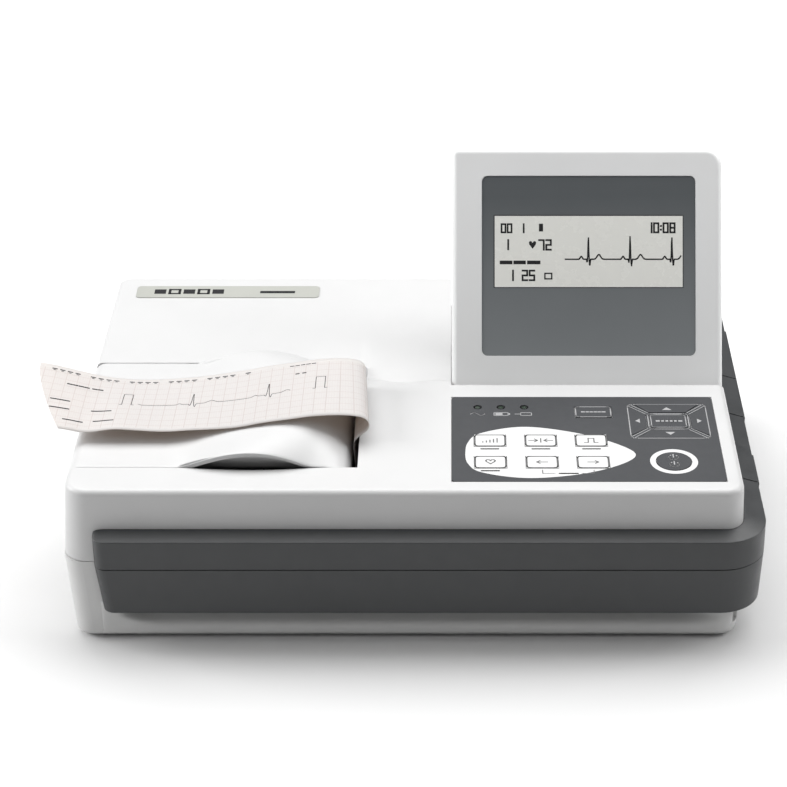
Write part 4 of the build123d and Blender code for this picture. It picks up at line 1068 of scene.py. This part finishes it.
filmInk.line(roundedLoop(boxLoop(*cross["outer"]), 2.4), 0.5, onFilm, True)
for sx, sy in ((-1, -1), (1, -1), (-1, 1), (1, 1)):
    ox, oy = cross["middle"] + sx * cross["armOut"][0], cross["armOutY"] + sy * cross["armOut"][1]
    ix, iy = cross["middle"] + sx * cross["armIn"][0], cross["armInY"] + sy * cross["armIn"][1]
    for side in (-0.55, 0.55):
        dx, dy = side * sx * 0.8, side * sy
        filmInk.line([(ox + dx, oy - dy), (ix + dx, iy - dy)], 0.3, onFilm)
filmInk.line(roundedLoop(boxLoop(*cross["inner"]), 2.0), 0.4, onFilm, True)
# three lamps with a mains wave, a battery and a plug sign under them
lampRing = Print()
for cx in pad["lamps"]:
    lampRing.line(ringLoop(cx, pad["lampY"], pad["lampR"], 16), 0.5, onFilm, True)
cx, y, signLine = pad["lamps"][0], pad["signY"], pad["signLine"]
filmInk.line([(cx - 3 + k * 0.5, y + 1.1 * sin(k * pi / 6)) for k in range(13)], signLine, onFilm)
cx = pad["lamps"][1]
filmInk.line(boxLoop(cx - 3, y - 1.3, cx + 3, y + 1.3), signLine, onFilm, True)
filmInk.shape(boxLoop(cx - 2.4, y - 0.8, cx + 0.6, y + 0.8), onFilm)
filmInk.line([(cx + 3.6, y - 0.5), (cx + 3.6, y + 0.5)], 0.5, onFilm)
cx = pad["lamps"][2]
filmInk.line([(cx - 4, y), (cx - 1.6, y)], signLine, onFilm)
filmInk.line(boxLoop(cx - 1.6, y - 1.2, cx + 3, y + 1.2), signLine, onFilm, True)
lampRing.make("lampRings", finish["ink"], "case", "key_film")
filmInk.make("filmPrint", finish["softWhite"], "case", "key_film")

# each arrow key's turn in degrees, middle and size
arrow = [(0, 1.6), (-2.2, -0.9), (2.2, -0.9)]
arrows = {"key_up": (0, 117.1, -26.3, 0.95), "key_down": (180, 117.1, -46.8, 0.95),
          "key_left": (90, 104.2, -36.5, 0.8), "key_right": (270, 130.0, -36.5, 0.8)}
for name, (turn, cx, cy, size) in arrows.items():
    c, s = cos(radians(turn)), sin(radians(turn))
    ink = Print()
    ink.shape([(cx + (x * c - y * s) * size, cy + (x * s + y * c) * size) for x, y in arrow], onKey)
    ink.make(name + "_print", finish["softWhite"], name + "_cap", "key_film")
okInk = Print()
okInk.line(roundedLoop(boxLoop(109.7, -41.9, 124.4, -31.3), 1.6), 0.35, onKey, True)
dashes(okInk, 112.2, 1.8, 1.2, 6, -36.6, 1.1, onKey)
okInk.make("okPrint", finish["softWhite"], "key_ok_cap", "key_film")
powerInk = Print()
signRadius = 1.9
for cy in (-66.8, -72.6):
    turns = [radians(a) for a in range(-235, 56, 20)]
    powerInk.line([(powerX + signRadius * cos(a), cy + signRadius * sin(a)) for a in turns], 0.5, onKey)
    powerInk.line([(powerX, cy), (powerX, cy + signRadius + 0.4)], 0.5, onKey)
powerInk.make("powerPrint", finish["softWhite"], "key_power_cap", "key_film")

# name plate: plain blocks and a bar in place of lettering
block = {"start": -114.5, "step": 6.8, "count": 5, "wide": 4.6, "low": 83.9, "high": 88.0, "line": 1.3}
plateInk = Print()
onPlate = lambda x, y: (x, y, 70.33)
for k in range(block["count"]):
    x = block["start"] + k * block["step"]
    if k % 2:
        plateInk.line(boxLoop(x, block["low"], x + block["wide"], block["high"]), block["line"], onPlate, True)
    else:
        middleY = (block["low"] + block["high"]) / 2
        plateInk.line([(x + 1.9, middleY), (x + 2.7, middleY)], block["wide"], onPlate)
dashes(plateInk, -64.0, 4.0, 2.0, 4, 85.4, 2.4, onPlate)
plateInk.make("platePrint", finish["ink"], "case", "black_plastic")
print("keypad and plate printed")

# floor, light and camera

stage = {"floor": 0.70, "rough": 0.9, "ambient": 0.08, "camera": (0.0246, -0.9045, 0.5667), "lookDown": 29.101,
         "lens": 107.53, "shift": -0.0731}
# each light's place, what it aims at, its size and its power
lights = {"overhead": ((0.05, 0.5, 1.25), (0, 0, 0), (2.0, 1.1), 29.0),
          "frontTop": ((0.1, -0.95, 1.5), (0, 0, 0.05), (1.6, 0.5), 3.3),
          "left": ((-1.3, 0.1, 0.7), (0, 0, 0.05), (0.8, 0.6), 15.0),
          "right": ((1.3, 0.1, 0.8), (0, 0, 0.05), (0.8, 0.6), 9.0),
          "strip": ((-1.0, -0.75, 0.45), (-0.1, -0.1, 0.05), (0.12, 0.8), 1.2)}
floorMesh = bpy.data.meshes.new("floor")
floorMesh.from_pydata([(-4, -4, 0), (4, -4, 0), (4, 6, 0), (-4, 6, 0)], [], [(0, 1, 2, 3)])
floor = bpy.data.objects.new("floor", floorMesh)
bpy.context.collection.objects.link(floor)
floorLook, _, floorShader = startMaterial("studio floor")
setInputs(floorShader, {"Base Color": (stage["floor"], stage["floor"], stage["floor"], 1),
                        "Roughness": stage["rough"]})
floorMesh.materials.append(floorLook)


def areaLight(name, place, target, size, power):
    # a soft rectangular light that faces its target
    light = bpy.data.lights.new(name, "AREA")
    light.shape = "RECTANGLE"
    light.size, light.size_y = size
    light.energy = power
    lamp = bpy.data.objects.new(name, light)
    lamp.location = place
    lamp.rotation_euler = (Vector(target) - Vector(place)).to_track_quat("-Z", "Y").to_euler()
    bpy.context.collection.objects.link(lamp)


for name, values in lights.items():
    areaLight(name, *values)
world = bpy.data.worlds.new("studio")
world.use_nodes = True
world.node_tree.nodes["Background"].inputs["Color"].default_value = (1, 1, 1, 1)
world.node_tree.nodes["Background"].inputs["Strength"].default_value = stage["ambient"]
bpy.context.scene.world = world
bpy.context.scene.view_settings.view_transform = "Standard"

lens = bpy.data.cameras.new("camera")
lens.sensor_width = 36.0
lens.lens = stage["lens"]
lens.shift_x = stage["shift"]
lens.clip_end = 20
camera = bpy.data.objects.new("camera", lens)
camera.location = stage["camera"]
camera.rotation_euler = (radians(90 - stage["lookDown"]), 0, 0)
bpy.context.collection.objects.link(camera)
bpy.context.scene.camera = camera
print("stage set")
